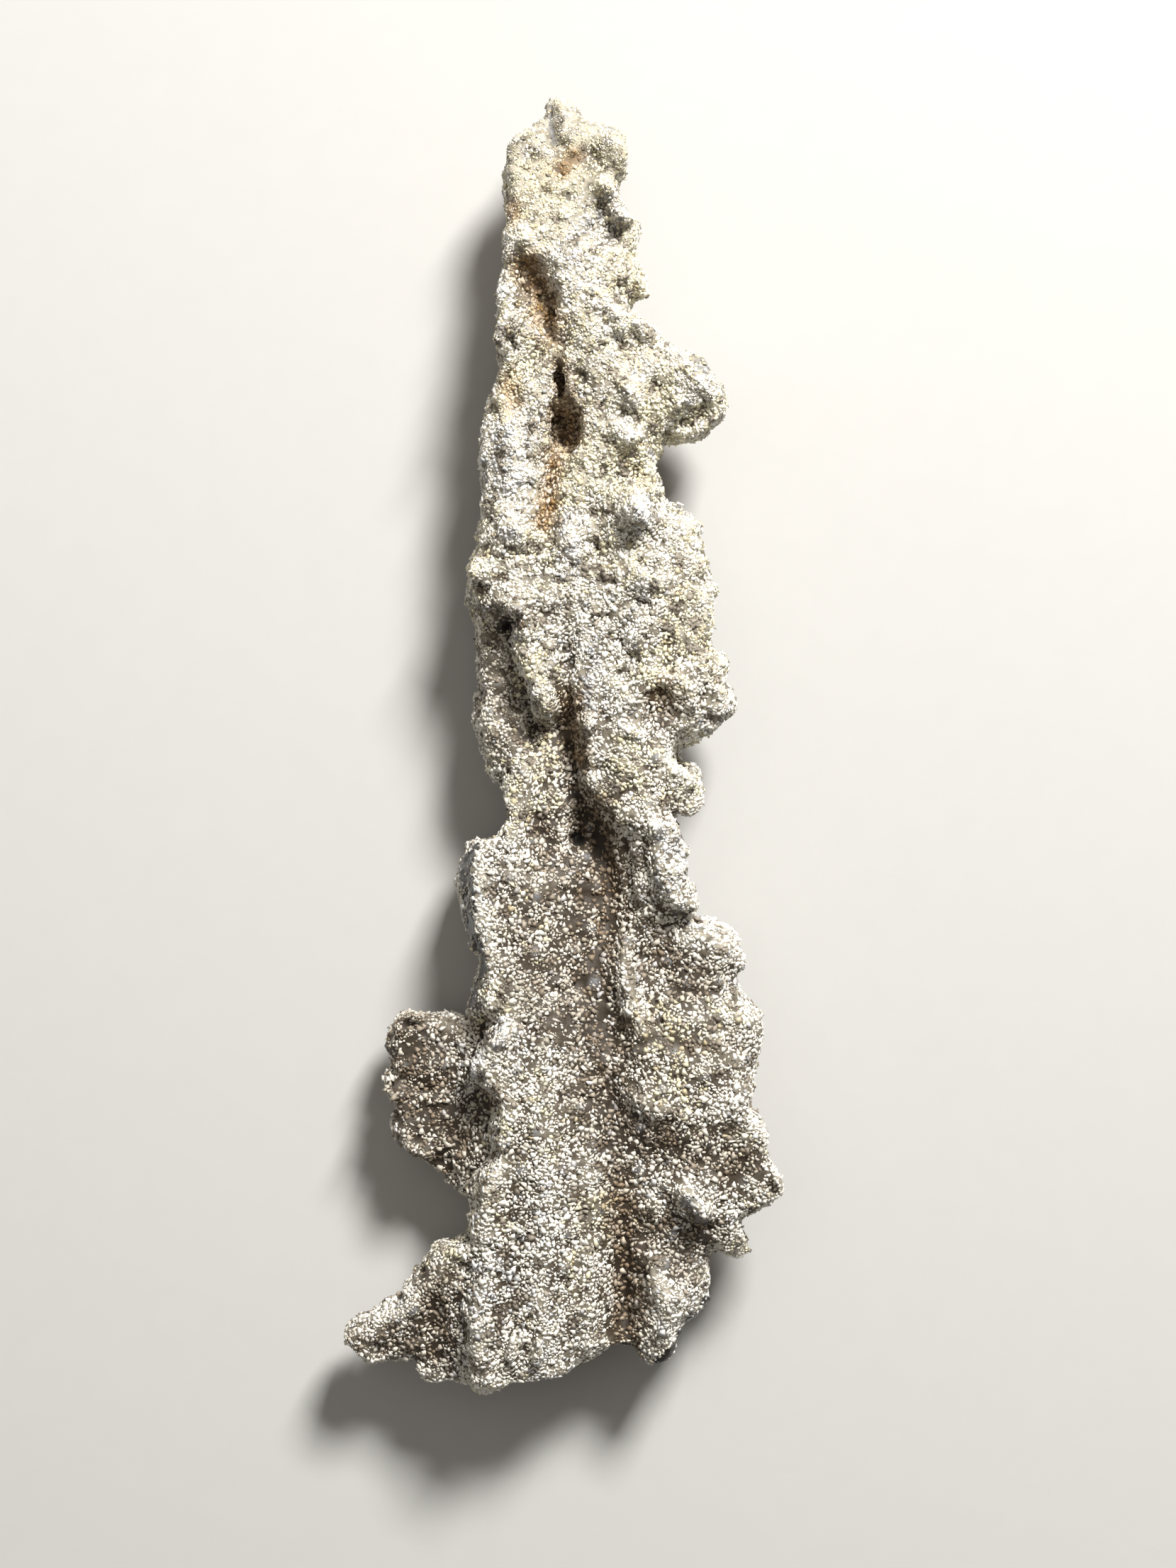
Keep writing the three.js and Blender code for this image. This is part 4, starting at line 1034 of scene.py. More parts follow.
    def beyond(self, flat: Array) -> tuple[Array, Array]:
        """How far places lie outside the outline, and which way that is.

        Args:
            flat: Places seen from above, one to a row.

        Returns:
            The distances, negative inside, and the outward directions.
        """
        ends = self.points()
        best = np.full(len(flat), np.inf)
        away = np.zeros_like(flat)
        inside = np.zeros(len(flat), bool)
        for start, end in zip(ends, np.roll(ends, -1, axis=0)):
            _, gap, square = nearest_on(flat, start, end)
            nearer = square < best
            best[nearer], away[nearer] = square[nearer], gap[nearer]
            across, rise = end - start
            rise = rise if abs(rise) > TINY else TINY
            spans = (start[1] > flat[:, 1]) != (end[1] > flat[:, 1])
            inside ^= spans & (flat[:, 0] < start[0] + (flat[:, 1] - start[1]) * across / rise)
        distance = np.sqrt(best)
        sign = np.where(inside, -1.0, 1.0)
        return sign * distance, sign[:, None] * away / np.maximum(distance, TOUCHING)[:, None]


@dataclass
class FusedBody:
    """The glass body: the solid's own form with the fine relief of its skin."""

    weld: float = 0.002
    voxel: float = 0.38
    seed: int = 11
    finish: GlassFinish = GlassFinish()
    soften: int = 5
    bell: float = 1.5

    # Drawing the edge to the rim.
    rim: Rim = Rim()
    rim_depth: float = 1.8
    rim_reach: float = 3.0
    rim_cell: float = 0.25
    rim_margin: int = 4
    rim_batches: int = 24
    rim_passes: tuple[int, ...] = (6, 3, 1)

    # Crests and troughs.
    relief: Relief = Relief()
    relief_edge: Ramp = Ramp(0.3, 1.2)
    relief_floor: float = 8.8
    relief_blur: int = 40
    relief_flatten: int = 40
    relief_paces: tuple[float, float, float] = (0.6, 0.95, 0.5)
    relief_width: float = 0.3
    relief_steps: int = 160
    relief_soften: int = 3
    relief_broad: int = 160
    relief_boost: float = 0.35

    # Lumps, each size with its height, and where they are strong.
    lumps: tuple[tuple[float, float], ...] = ((3.2, 0.30), (1.5, 0.38), (0.8, 0.20))
    lump_seeds: tuple[float, float] = (7.3, 19)
    swell: float = 0.5
    crags: float = 0.6
    crag_crest: tuple[float, float] = (0.45, 2)
    knobbly: Ramp = Ramp(-10.0, 14.0)
    calm_tip: Ramp = Ramp(36, 8)
    calm: float = 0.9
    lump_share: tuple[float, float] = (0.75, 0.5)

    # Warts.
    wart_gap: float = 2.6
    wart_radius: tuple[float, float] = (0.5, 1.0)
    wart_height: tuple[float, float] = (0.12, 0.42)
    wart_glass: tuple[float, float] = (0, 0.7)
    wart_blur: int = 30
    wart_hollow: float = 0.02
    wart_ground: float = 0.6

    # Knobs: how steep they are towards the tip and the root, how much heights count in
    # them, how pointed and deep they are, where their glass lies, partly painted shade on
    # the root side, and where their pale cap lies, a painted highlight.
    knob_slopes: tuple[float, float] = (1.3, 0.9)
    knob_rise: float = 0.9
    knob_upward: float = 0.6
    knob_point: float = 1.2
    knob_depth: float = 1.5
    knob_glass: float = 0.7
    knob_shaded_glass: tuple[float, float] = (-0.45, 0.7)
    knob_highlight_cap: tuple[float, float] = (0.3, 0.75)

    # Markings: the blur and the depth of the hollows that count, whose darkening is painted
    # shade, and what varies the rest.
    fine_hollow: tuple[int, float] = (10, 0.10)
    broad_hollow: tuple[int, float] = (90, 0.9)
    hollow_blur: int = 4
    deep: Blend = Blend(0, {"fine": 0.5, "broad": 0.7})
    patches: tuple[Layer, ...] = ((6.0, 3.1, 1), (2.4, 5.7, 0.5))
    seep: tuple[float, float] = (0.35, 0.5)
    # The underside is darker all over, varied by patches.
    smoke_and_shade_under: Blend = Blend(0.30, {"patches": 0.5}, (0, 0.8))
    spots: tuple[Layer, ...] = ((1.5, 8.3, 1), (0.7, 2.9, 0.6))
    bald_spots: Ramp = Ramp(0.42, 0.1)
    bald_in_smoke_and_shade: float = 0.08
    bald_share: Blend = Blend(0.45, {"smoke_and_shade": 0.3})
    pale_top: Ramp = Ramp(-8, 42)
    # Dust is paler towards the tip and thinned in broad hollows, which paints shade there.
    dust_thinned_in_shade: Blend = Blend(0.04, {"height": 0.8, "broad": -0.8, "patches": 0.2})
    highlight_cap_facing: float = 0.2

    # The marks themselves.
    knobs: tuple[Knob, ...] = (
        Knob(4.6, 52.3, 1.5, 0.5, 0.1),
        Knob(3.9, 48.6, 1.2, 0.8, 0.7),
        Knob(5.2, 46.1, 1.3, 0.9, 0.75),
        Knob(-3.6, 44.0, 1.2, 0.6, 0.5),
        Knob(-4.9, 39.2, 1.2, 0.6, 0.2),
        Knob(-4.8, 36.3, 1.2, 0.9, 1.0),
        Knob(4.8, 36.4, 1.3, 0.8, 0.5),
        Knob(6.0, 29.8, 1.2, 0.8, 0.4),
        Knob(6.0, 26.6, 1.3, 0.8, 0.4),
        Knob(13.2, 29.3, 0.9, 0.4, 0.4),
        Knob(11.2, 30.2, 0.9, 0.4, 0.3),
        Knob(6.5, 19.6, 1.9, 1.1, 0.4),
        Knob(-3.8, 17.6, 1.3, 0.8, 0.4),
        Knob(0.8, 17.8, 1.1, 0.5, 0.3),
        Knob(7.0, 13.8, 1.3, 0.8, 0.3),
        Knob(-7.0, 15.0, 1.2, 0.7, 0.5),
        Knob(-3.8, 10.8, 1.2, 1.0, 1.0),
        Knob(-4.7, 9.0, 1.0, 0.6, 0.3),
        Knob(6.5, 9.5, 1.3, 0.8, 0.3),
        Knob(2.0, 8.0, 1.0, 0.5, 0.1),
        Knob(2.3, 1.8, 1.1, 0.6, 0.7),
        Knob(5.8, 1.2, 1.1, 0.6, 0.4),
        Knob(2.5, -3.5, 1.1, 0.7, 0.4),
        Knob(8.3, -7.3, 1.4, 0.9, 0.7),
        Knob(10.0, -11.0, 1.3, 0.7, 0.2),
        Knob(10.3, -14.0, 1.2, 0.7, 0.8),
        Knob(15.5, -19.0, 1.1, 0.5, 0.2),
        Knob(17.0, -24.0, 1.0, 0.4, 0.2),
        Knob(15.5, -31.5, 1.1, 0.5, 0.2),
        Knob(10.8, -39.3, 1.2, 0.7, 1.0),
        Knob(12.3, -41.0, 1.2, 0.7, 1.0),
        Knob(-5.5, -25.5, 1.3, 0.9, 0.2),
        Knob(-7.8, -28.6, 1.2, 0.8, 0.2),
        Knob(-5.5, -33.0, 1.3, 0.8, 0.2),
        Knob(-7.5, -37.0, 1.2, 0.8, 0.2),
        Knob(10.0, -48.0, 1.2, 0.6, 0.3),
    )
    pits: tuple[Pit, ...] = (
        Pit(-1.5, 48.5, 0.6, 0.5),
        Pit(0.3, 48.0, 0.6, 0.5),
        Pit(3.2, 17.5, 0.9, 0.6),
        Pit(3.5, 11.0, 0.9, 0.6),
        Pit(0.9, 2.8, 1.0, 0.9),
        Pit(1.3, -8.3, 1.2, 1.0),
        Pit(9.0, 4.5, 1.1, 0.6),
        Pit(7.3, -46.8, 0.9, 0.8),
        Pit(-12.5, -46.5, 0.6, 0.6),
        Pit(-9.0, -49.5, 0.6, 0.6),
        Pit(-6.8, -50.0, 0.6, 0.6),
        Pit(-2.8, -50.2, 0.6, 0.6),
        Pit(-3.8, -51.5, 0.6, 0.6),
        Pit(-12.5, -52.3, 0.6, 0.6),
        Pit(-10.3, -55.4, 0.6, 0.6),
        Pit(-12.0, -25.7, 0.7, 0.6),
        Pit(-14.2, -29.7, 0.7, 0.6),
        Pit(-12.0, -30.5, 0.7, 0.6),
    )
    bands: tuple[Streak, ...] = (
        Streak(((12.5, 33.2),), 1.2, 0.55),
        Streak(((-0.95, 56.4), (-1.0, 54.6), (-0.6, 52.8)), 0.3, 0.5),
    )
    breaks: tuple[Streak, ...] = (
        Streak(((-8.6, -10.6), (-8.9, -12.4), (-8.6, -14.4)), 2.3, 1.2),
        Streak(((-7.5, -18.6), (-7.2, -20.2), (-7.5, -22.0)), 1.9, 1.1),
    )
    chips: tuple[Streak, ...] = (
        Streak(((8.4, -55.4), (10.0, -53.6), (11.5, -51.2), (12.7, -49.6)), 0.6, 1.8),
        Streak(((1.3, -8.4),), 0.6, 1.4),
        Streak(((5.4, -13.0), (5.6, -14.0)), 0.35, 0.9),
        Streak(((-5.0, 10.6),), 0.7, 0.8),
    )
    break_steep: Ramp = Ramp(0.65, -0.3)
    break_foot: float = 7.2
    break_foot_wave: Layer = (3.4, 27.0, 3.2)
    break_foot_fade: float = 2
    break_noise: tuple[Layer, ...] = ((4.0, 1.7, 0.75), (2.0, 9.4, 0.75), (0.9, 6.6, 0.75))
    break_edge: Ramp = Ramp(0.42, 0.15)
    break_bald: float = 0.88
    stains: tuple[Streak, ...] = (
        Streak(((-0.7, 25.0), (-1.0, 22.0), (-1.7, 19.5)), 0.9, 0.9),
        Streak(((-4.6, 31.4), (-4.2, 30.0)), 1.0, 0.8),
        Streak(((1.0, 51.6), (0.0, 50.4)), 0.9, 0.8),
        Streak(((-4.4, 47.4), (-4.2, 46.2)), 0.8, 0.8),
        Streak(((-3.0, 42.0), (-0.8, 36.0)), 1.3, 0.9),
        Streak(((9.0, 4.5),), 1.4, 0.5),
        Streak(((5.4, -41.0), (5.7, -52.0)), 1.2, 0.2),
        Streak(((3.0, -8.0), (4.8, -14.0)), 1.6, 0.2),
        Streak(((0.8, 4.0), (1.3, -1.0)), 0.9, 0.6),
        Streak(((0.0, 33.0), (0.0, 29.5)), 0.9, 0.5),
        Streak(((0.4, 28.6), (0.4, 27.0)), 1.3, 1.0),
    )
    warm: tuple[Streak, ...] = (
        Streak(((5.6, 24.6), (6.6, 22.6)), 1.6, 0.9),
        Streak(((1.8, 51.6), (-0.6, 49.0)), 2.2, 0.9),
        Streak(((6.2, 44.0), (6.0, 41.0)), 1.5, 0.7),
        Streak(((-3.4, 33.4), (-4.8, 30.0)), 1.6, 0.8),
        Streak(((1.2, 24.6), (0.9, 21.0)), 1.3, 0.6),
        Streak(((-2.8, 17.2), (-2.2, 14.6)), 1.5, 0.7),
        Streak(((10.4, 12.0), (10.2, 8.6), (9.0, 6.8)), 2.2, 0.8),
        Streak(((5.8, 0.2), (6.6, -3.6)), 1.6, 0.6),
        Streak(((8.8, 31.6), (8.4, 29.0)), 1.1, 0.6),
        Streak(((-1.6, -3.0), (-2.6, -0.6)), 1.6, 0.5),
        Streak(((9.4, -24.6), (10.8, -29.0)), 2.6, 0.8),
        Streak(((3.2, -40.6),), 1.6, 0.7),
        Streak(((-5.0, -41.9),), 0.8, 0.9),
        Streak(((-2.3, -51.0),), 0.8, 0.9),
        Streak(((-1.4, -35.6),), 1.6, 0.4),
    )
    cool: tuple[Streak, ...] = (
        Streak(((0.6, 19.4), (0.8, 15.4)), 0.9, 0.8),
        Streak(((-4.2, 18.4),), 1.1, 0.8),
        Streak(((1.8, 9.0), (2.2, 4.0)), 1.2, 0.7),
        Streak(((8.8, -7.6), (9.4, -12.6)), 1.1, 0.9),
        Streak(((-5.2, -25.6), (-6.8, -28.4)), 1.5, 0.8),
        Streak(((-4.6, 22.4), (-4.8, 26.4)), 1.4, 0.6),
        Streak(((2.4, 45.4), (0.6, 42.4)), 1.6, 0.6),
        Streak(((-6.2, -46.0), (-7.2, -50.0)), 1.6, 0.5),
        Streak(((11.0, -40.4),), 1.2, 0.7),
        Streak(((6.9, 21.6), (7.5, 19.8)), 0.8, 0.9),
    )
    # Smoky streaks: partly brown smoke, partly painted shade in valleys, hollows and under knobs.
    smoke_and_shade: tuple[Streak, ...] = (
        Streak(((-5.8, 11.6), (-5.8, 5.0), (-4.8, 0.6), (-2.4, 0.4)), 1.8, 0.5),
        Streak(((0.7, 3.6), (1.2, -3.6), (2.4, -9.0)), 1.3, 0.8),
        Streak(((3.0, -6.0), (3.8, -13.0), (4.0, -18.0)), 1.6, 0.8),
        Streak(((1.6, -12.0), (2.0, -20.0), (2.8, -26.0), (3.8, -33.0)), 2.5, 0.7),
        Streak(((6.9, -9.0), (7.2, -16.0)), 1.0, 0.1),
        Streak(((-1.6, -7.6), (-1.2, -10.6)), 1.1, 0.85),
        Streak(((-3.4, -13.4), (-2.6, -18.6), (-1.8, -24.4)), 2.0, 0.4),
        Streak(((9.0, -19.2), (11.6, -21.0)), 1.8, 0.6),
        Streak(((5.9, -25.4), (6.3, -27.6)), 1.0, 0.5),
        Streak(((7.4, -34.4), (12.0, -35.8), (16.4, -37.0)), 2.0, 0.6),
        Streak(((9.0, -42.2), (12.6, -43.0)), 1.6, 0.55),
        Streak(((5.0, -38.6), (5.6, -45.0), (5.7, -52.4)), 1.5, 1.0),
        Streak(((8.6, -44.6), (10.6, -46.6)), 1.5, 0.45),
        Streak(((-13.4, -26.0), (-12.6, -31.0), (-10.6, -36.0)), 3.6, 0.8),
        Streak(((-11.4, -47.6), (-11.0, -53.6)), 2.0, 0.7),
        Streak(((-13.4, -52.8), (-18.4, -52.8)), 1.6, 0.5),
        Streak(((-6.9, -25.2),), 0.9, 0.7),
        Streak(((-6.2, -31.4),), 0.9, 0.7),
        Streak(((9.2, 2.4),), 1.1, 0.5),
        Streak(((-3.7, 10.7),), 0.7, 0.9),
        Streak(((-4.8, 36.1),), 0.9, 0.7),
        Streak(((4.0, 48.3), (5.2, 45.9)), 0.8, 0.25),
        Streak(((-3.6, 41.8), (-2.4, 39.4), (-1.2, 37.2)), 1.3, 0.5),
        Streak(((2.2, 31.4),), 1.6, 0.4),
        Streak(((-0.2, 33.0), (-0.1, 31.0)), 0.8, 0.7),
        Streak(((9.0, -26.0), (14.0, -27.0)), 3.2, 0.25),
        Streak(((0.2, 28.8), (0.4, 27.0)), 1.2, 0.8),
    )

    def build(self) -> bpy.types.Object:
        """Meshes the body, works its relief in and stores its markings.

        Returns:
            The body's object, which stands for the solid.
        """
        self.rng = np.random.default_rng(self.seed)
        mesh = self._fine_copy(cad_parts[NODE])
        self.skin = Skin(mesh)
        self.skin.places = self.skin.blurred(self.skin.places, self.soften)
        self._draw_to_rim()
        self._shape_relief()
        self._raise_lumps()
        self._raise_warts()
        self._push_knobs()
        self._sink_pits()
        self._keep_inside()
        self._store_markings()
        for polygon in mesh.polygons:
            polygon.use_smooth = True
        self._lay_out(mesh)
        self.piece = put("fused_glass_body", mesh)
        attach(self.piece, BODY)
        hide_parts(NODE)
        return self.piece

    def dress(self) -> None:
        """Gives the body its glass."""
        self.piece.data.materials.append(self.finish.material())

    def _fine_copy(self, solid: bpy.types.Object) -> bpy.types.Mesh:
        """Merges a copy of the solid's loose triangles and meshes it finely.

        Args:
            solid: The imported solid's object, which is left as it is.

        Returns:
            A closed mesh of small even faces.
        """
        merged = solid.data.copy()
        shell = bmesh.new()
        shell.from_mesh(merged)
        bmesh.ops.remove_doubles(shell, verts=shell.verts, dist=self.weld * MM)
        shell.to_mesh(merged)
        shell.free()
        holder = put("fused_glass_blank", merged)
        remesh = holder.modifiers.new("even", "REMESH")
        remesh.mode = "VOXEL"
        remesh.voxel_size = self.voxel * MM
        graph = bpy.context.evaluated_depsgraph_get()
        mesh = bpy.data.meshes.new_from_object(holder.evaluated_get(graph))
        mesh.materials.clear()
        bpy.data.objects.remove(holder)
        bpy.data.meshes.remove(merged)
        return mesh

    def _draw_to_rim(self) -> None:
        """Draws the body's edge out or in to the rim, its inside less and less."""
        for blur in self.rim_passes:
            flat = self.skin.places[:, :2]
            outside, way = self.rim.beyond(flat)
            near = outside > -self.rim_reach * self.rim_depth * MM
            within = self._edge_gap(flat, near)
            share = np.exp(-((within / (self.rim_depth * MM)) ** 2))
            pull = np.zeros_like(flat)
            pull[near] = (-(outside + within) * share)[near, None] * way[near]
            self.skin.places[:, :2] += self.skin.blurred(pull, blur)

    def _edge_gap(self, flat: Array, wanted: Array) -> Array:
        """How far vertices lie inside the skin's own silhouette.

        Args:
            flat: The vertices seen from above.
            wanted: Those that matter; the others count as far inside.

        Returns:
            The distances.
        """
        cell = self.rim_cell * MM
        low = flat.min(axis=0) - self.rim_margin * cell
        size = tuple(((flat.max(axis=0) - low) / cell).astype(int) + self.rim_margin + 1)
        shape = np.zeros(size, bool)
        shape[tuple(((flat - low) / cell).astype(int).T)] = True
        for grow in (True, True, False, False):
            shape = self._spread(shape) if grow else ~self._spread(~shape)
        edge = np.argwhere(shape & self._spread(~shape))
        centres = low + (edge + 0.5) * cell
        gap = np.full(len(flat), FAR)
        for few in np.array_split(np.flatnonzero(wanted), self.rim_batches):
            steps = flat[few, None] - centres[None]
            gap[few] = np.sqrt(np.einsum("ijk,ijk->ij", steps, steps).min(axis=1))
        return np.maximum(gap - 0.5 * cell, 0)

    @staticmethod
    def _spread(shape: Array) -> Array:
        """A picture of true cells grown by one cell to each side."""
        grown = shape.copy()
        grown[1:] |= shape[:-1]
        grown[:-1] |= shape[1:]
        grown[:, 1:] |= shape[:, :-1]
        grown[:, :-1] |= shape[:, 1:]
        return grown

    def _shape_relief(self) -> None:
        """Evens out the upper side, then sets its crests and troughs to their heights."""
        places = self.skin.places
        outside, _ = self.rim.beyond(places[:, :2])
        flattening, spreading, softening = self.relief_paces
        upper = self.skin.blurred(self.skin.normals(), self.relief_blur)[:, 2] > 0
        upper |= places[:, 2] > self.relief_floor * MM
        free = self.relief_edge.over(-outside / MM) * upper
        self.skin.places = self.skin.blurred(places, self.relief_flatten, flattening * free)
        height, gap = self.relief.heights(self.skin.places[:, :2])
        free = free[:, None]
        held = free * (gap < self.relief_width * MM)[:, None]
        level = self.skin.places[:, 2:]
        level = level + free * (height[:, None] - level)
        for _ in range(self.relief_steps):
            level = self.skin.blurred(level, 1, spreading * free)
            level = level + held * (height[:, None] - level)
        level = self.skin.blurred(level, self.relief_soften, softening * free)
        broad = self.skin.blurred(level, self.relief_broad)
        self.skin.places[:, 2:] = level + self.relief_boost * free * (level - broad)

    def _raise_lumps(self) -> None:
        """Moves the skin in and out by a few sizes of sharp-crested noise."""
        normals = self.skin.normals()
        away = np.zeros(len(normals))
        first, apart = self.lump_seeds
        crest, fall = self.crag_crest
        for index, (size, height) in enumerate(self.lumps):
            bumps = turbulence(self.skin.places, size, first + apart * index)
            crags = self.crags * (crest - fall * np.abs(bumps))
            away += height * MM * (self.swell * bumps + crags)
        along = self.skin.places[:, 1] / MM
        chest = self.knobbly.over(along) - self.calm * self.calm_tip.over(along)
        least, more = self.lump_share
        self.skin.places += (away * (least + more * chest))[:, None] * normals

    def _raise_warts(self) -> None:
        """Raises small knobs at random places all over, mostly on the crests."""
        normals = self.skin.normals()
        places = self.skin.places
        self.tip, self.cap = np.zeros((2, len(places)))
        open_to_it = self._hollow(self.wart_blur) < self.wart_hollow * MM
        open_to_it &= places[:, 2] > self.wart_ground * MM
        order = self.rng.permutation(len(places))
        radii = np.full(len(places), 0.5 * self.wart_gap * MM)
        chosen = spaced(places, radii, order[open_to_it[order]])
        moved = np.zeros_like(places)
        for index in chosen:
            radius = self.rng.uniform(*self.wart_radius) * MM
            height = self.rng.uniform(*self.wart_height) * MM
            share = self._within(places[index], radius)
            moved += (height * share)[:, None] * normals[index]
            self.tip = np.maximum(self.tip, self.rng.uniform(*self.wart_glass) * share**2)
        self.skin.places = places + moved
        LOG.info("%d warts", len(chosen))

    def _within(self, centre: Array, radius: float) -> Array:
        """A bell round a point.

        Args:
            centre: Where it is highest.
            radius: Where it ends.

        Returns:
            From 0 outside to 1 at the centre, for every vertex.
        """
        gaps = self.skin.places - centre
        return np.clip(1 - squares(gaps) / radius**2, 0, 1) ** self.bell

    def _hits(self, marks: Sequence[Union[Knob, Pit]]) -> list[tuple[Vector, Vector]]:
        """Finds where marks lie on the upper side.

        Args:
            marks: Knobs or pits.

        Returns:
            For each, the point and the normal there.
        """
        self.skin.store()
        shape = bmesh.new()
        shape.from_mesh(self.skin.mesh)
        tree = BVHTree.FromBMesh(shape)
        above = float(self.skin.places[:, 2].max()) + CLEARANCE * MM
        found = []
        for mark in marks:
            start = Vector((*metres(mark.x, mark.y), above))
            point, normal, _, _ = tree.ray_cast(start, Vector((0, 0, -1)))
            if point is None:
                point, normal, _, _ = tree.find_nearest(start)
            found.append((point, normal))
        shape.free()
        return found

    def _push_knobs(self) -> None:
        """Draws each knob out to its tip, steep towards the root, where its glass is partly
        painted shade.
        """
        for knob, (point, _) in zip(self.knobs, self._hits(self.knobs)):
            gap = (self.skin.places - np.array(point)) / (knob.radius * MM)
            along = gap[:, 1] / np.where(gap[:, 1] > 0, *self.knob_slopes)
            far = np.sqrt(gap[:, 0] ** 2 + along**2 + (self.knob_upward * gap[:, 2]) ** 2)
            share = np.clip(1 - far, 0, 1) ** self.knob_point
            way = np.array((*knob.lean, 1.0))
            self.skin.places += (self.knob_rise * knob.height * MM * share)[:, None] * way
            # Glass on the root side, away from the light, is partly painted shade; the cap is a
            # painted highlight.
            shaded_glass, cap = (
                np.clip(1 - np.hypot(gap[:, 0], gap[:, 1] - ahead) / reach, 0, 1)
                * (np.abs(gap[:, 2]) < self.knob_depth)
                for ahead, reach in (self.knob_shaded_glass, self.knob_highlight_cap)
            )
            self.tip = np.maximum(self.tip, self.knob_glass * knob.glass * np.sqrt(shaded_glass))
            self.cap = np.maximum(self.cap, np.sqrt(cap))

    def _sink_pits(self) -> None:
        """Presses each pit in and notes its depth."""
        self.pitted = np.zeros(len(self.skin.places))
        for pit, (point, normal) in zip(self.pits, self._hits(self.pits)):
            share = self._within(np.array(point), pit.radius * MM)
            self.skin.places -= (pit.depth * MM * share)[:, None] * np.array(normal)
            self.pitted = np.maximum(self.pitted, np.sqrt(share))

    def _keep_inside(self) -> None:
        """Keeps the skin on the ground and within the solid's own box."""
        low, high = (np.array(corner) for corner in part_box(NODE))
        self.skin.places = np.clip(self.skin.places, low, high)
        self.skin.store()

    def _hollow(self, steps: int) -> Array:
        """How far each vertex lies below the blurred skin, above 0 in hollows."""
        normals = self.skin.blurred(self.skin.normals(), self.hollow_blur)
        gap = self.skin.blurred(self.skin.places, steps) - self.skin.places
        return np.einsum("ij,ij->i", gap, normals)

    def _store_markings(self) -> None:
        """Stores bare glass, stains, depth, dust and smoke; depth and smoke also carry painted
        shade.
        """
        places = self.skin.places
        facing = self.skin.normals()[:, 2]
        hollows = {"fine": self.fine_hollow, "broad": self.broad_hollow}
        amounts = {
            name: self._hollow(steps) / (depth * MM) for name, (steps, depth) in hollows.items()
        }
        deep = np.maximum(self.deep.of(amounts), self.pitted)
        patches = amounts["patches"] = layered(places, self.patches)
        seep_from, seep = self.seep
        stain = marked(self.stains, places, facing)
        stain = np.clip(stain + np.clip(patches - seep_from, 0, 1) * seep * deep, 0, 1)
        broken = self._broken(places, facing)
        bands = marked(self.bands, places, facing)
        smoke_and_shade = marked(self.smoke_and_shade, places, facing)
        smoke_and_shade = np.where(facing < 0, self.smoke_and_shade_under.of(amounts), smoke_and_shade)
        amounts["smoke_and_shade"] = smoke_and_shade
        spots = layered(places, self.spots) + self.bald_in_smoke_and_shade * smoke_and_shade
        bald = self.bald_spots.over(spots) * self.bald_share.of(amounts)
        amounts["height"] = self.pale_top.over(places[:, 1] / MM)
        for name, values in (
            ("glass", np.maximum(np.maximum(self.tip, bands), broken)),
            ("broken", broken),
            ("cap", self.cap * (facing > self.highlight_cap_facing)),
            ("stain", stain),
            ("deep", deep),
            ("smoke_and_shade", smoke_and_shade),
            ("dust_thinned_in_shade", self.dust_thinned_in_shade.of(amounts) * (1 - smoke_and_shade)),
            ("bald", np.maximum(np.maximum(bald, bands), self.break_bald * broken)),
            ("warm", marked(self.warm, places, facing) - marked(self.cool, places, facing)),
        ):
            self.skin.attribute(name, values)

    def _broken(self, places: Array, facing: Array) -> Array:
        """Finds where the glass is freshly broken, in ragged patches.

        Args:
            places: The skin's vertices.
            facing: The upward part of the normal at each.

        Returns:
            A share from 0 to 1 for each vertex.
        """
        foot = self.break_foot + layered(places, (self.break_foot_wave,))
        above = np.clip((places[:, 2] / MM - foot) / self.break_foot_fade, 0, 1)
        steep = self.break_steep.over(facing) * above
        broken = marked(self.breaks, places, np.ones(len(places))) * steep
        broken = np.maximum(broken, marked(self.chips, places, facing))
        for layer in self.break_noise:
            broken *= 1 + layered(places, (layer,))
        return self.break_edge.over(broken)

    def _lay_out(self, mesh: bpy.types.Mesh) -> None:
        """Gives the body a map of four strips: its front, back, left and right.

        Args:
            mesh: The finished mesh.
        """
        low, high = (np.array(corner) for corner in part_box(NODE))
        span = high - low
        side = max(span[1], 2 * (span[0] + span[2])) * MAP_MARGIN
        faces = listed(mesh.polygons, "normal", 3)
        sizes = listed(mesh.polygons, "loop_total", kind=np.int64)
        corners = listed(mesh.loops, "vertex_index", kind=np.int64)
        upright = np.abs(faces[:, 0]) > UPRIGHT * np.abs(faces[:, 2])
        strip = np.where(
            upright, np.where(faces[:, 0] > 0, 3, 2), np.where(faces[:, 2] > 0, 0, 1)
        )
        strip = np.repeat(strip, sizes)
        across = self.skin.places[corners] - low
        gap = MAP_GAP * side
        starts = np.array([0, span[0], 2 * span[0], 2 * span[0] + span[2]]) + gap * np.arange(4)
        u = starts[strip] + np.where(strip < 2, across[:, 0], across[:, 2])
        layer = mesh.uv_layers.new(name=MAP)
        flat = np.column_stack([u / side, across[:, 1] / side + MAP_FOOT])
        layer.data.foreach_set("uv", flat.ravel())


# --------------------------------------------------------------------------
# The crust of grains
# --------------------------------------------------------------------------


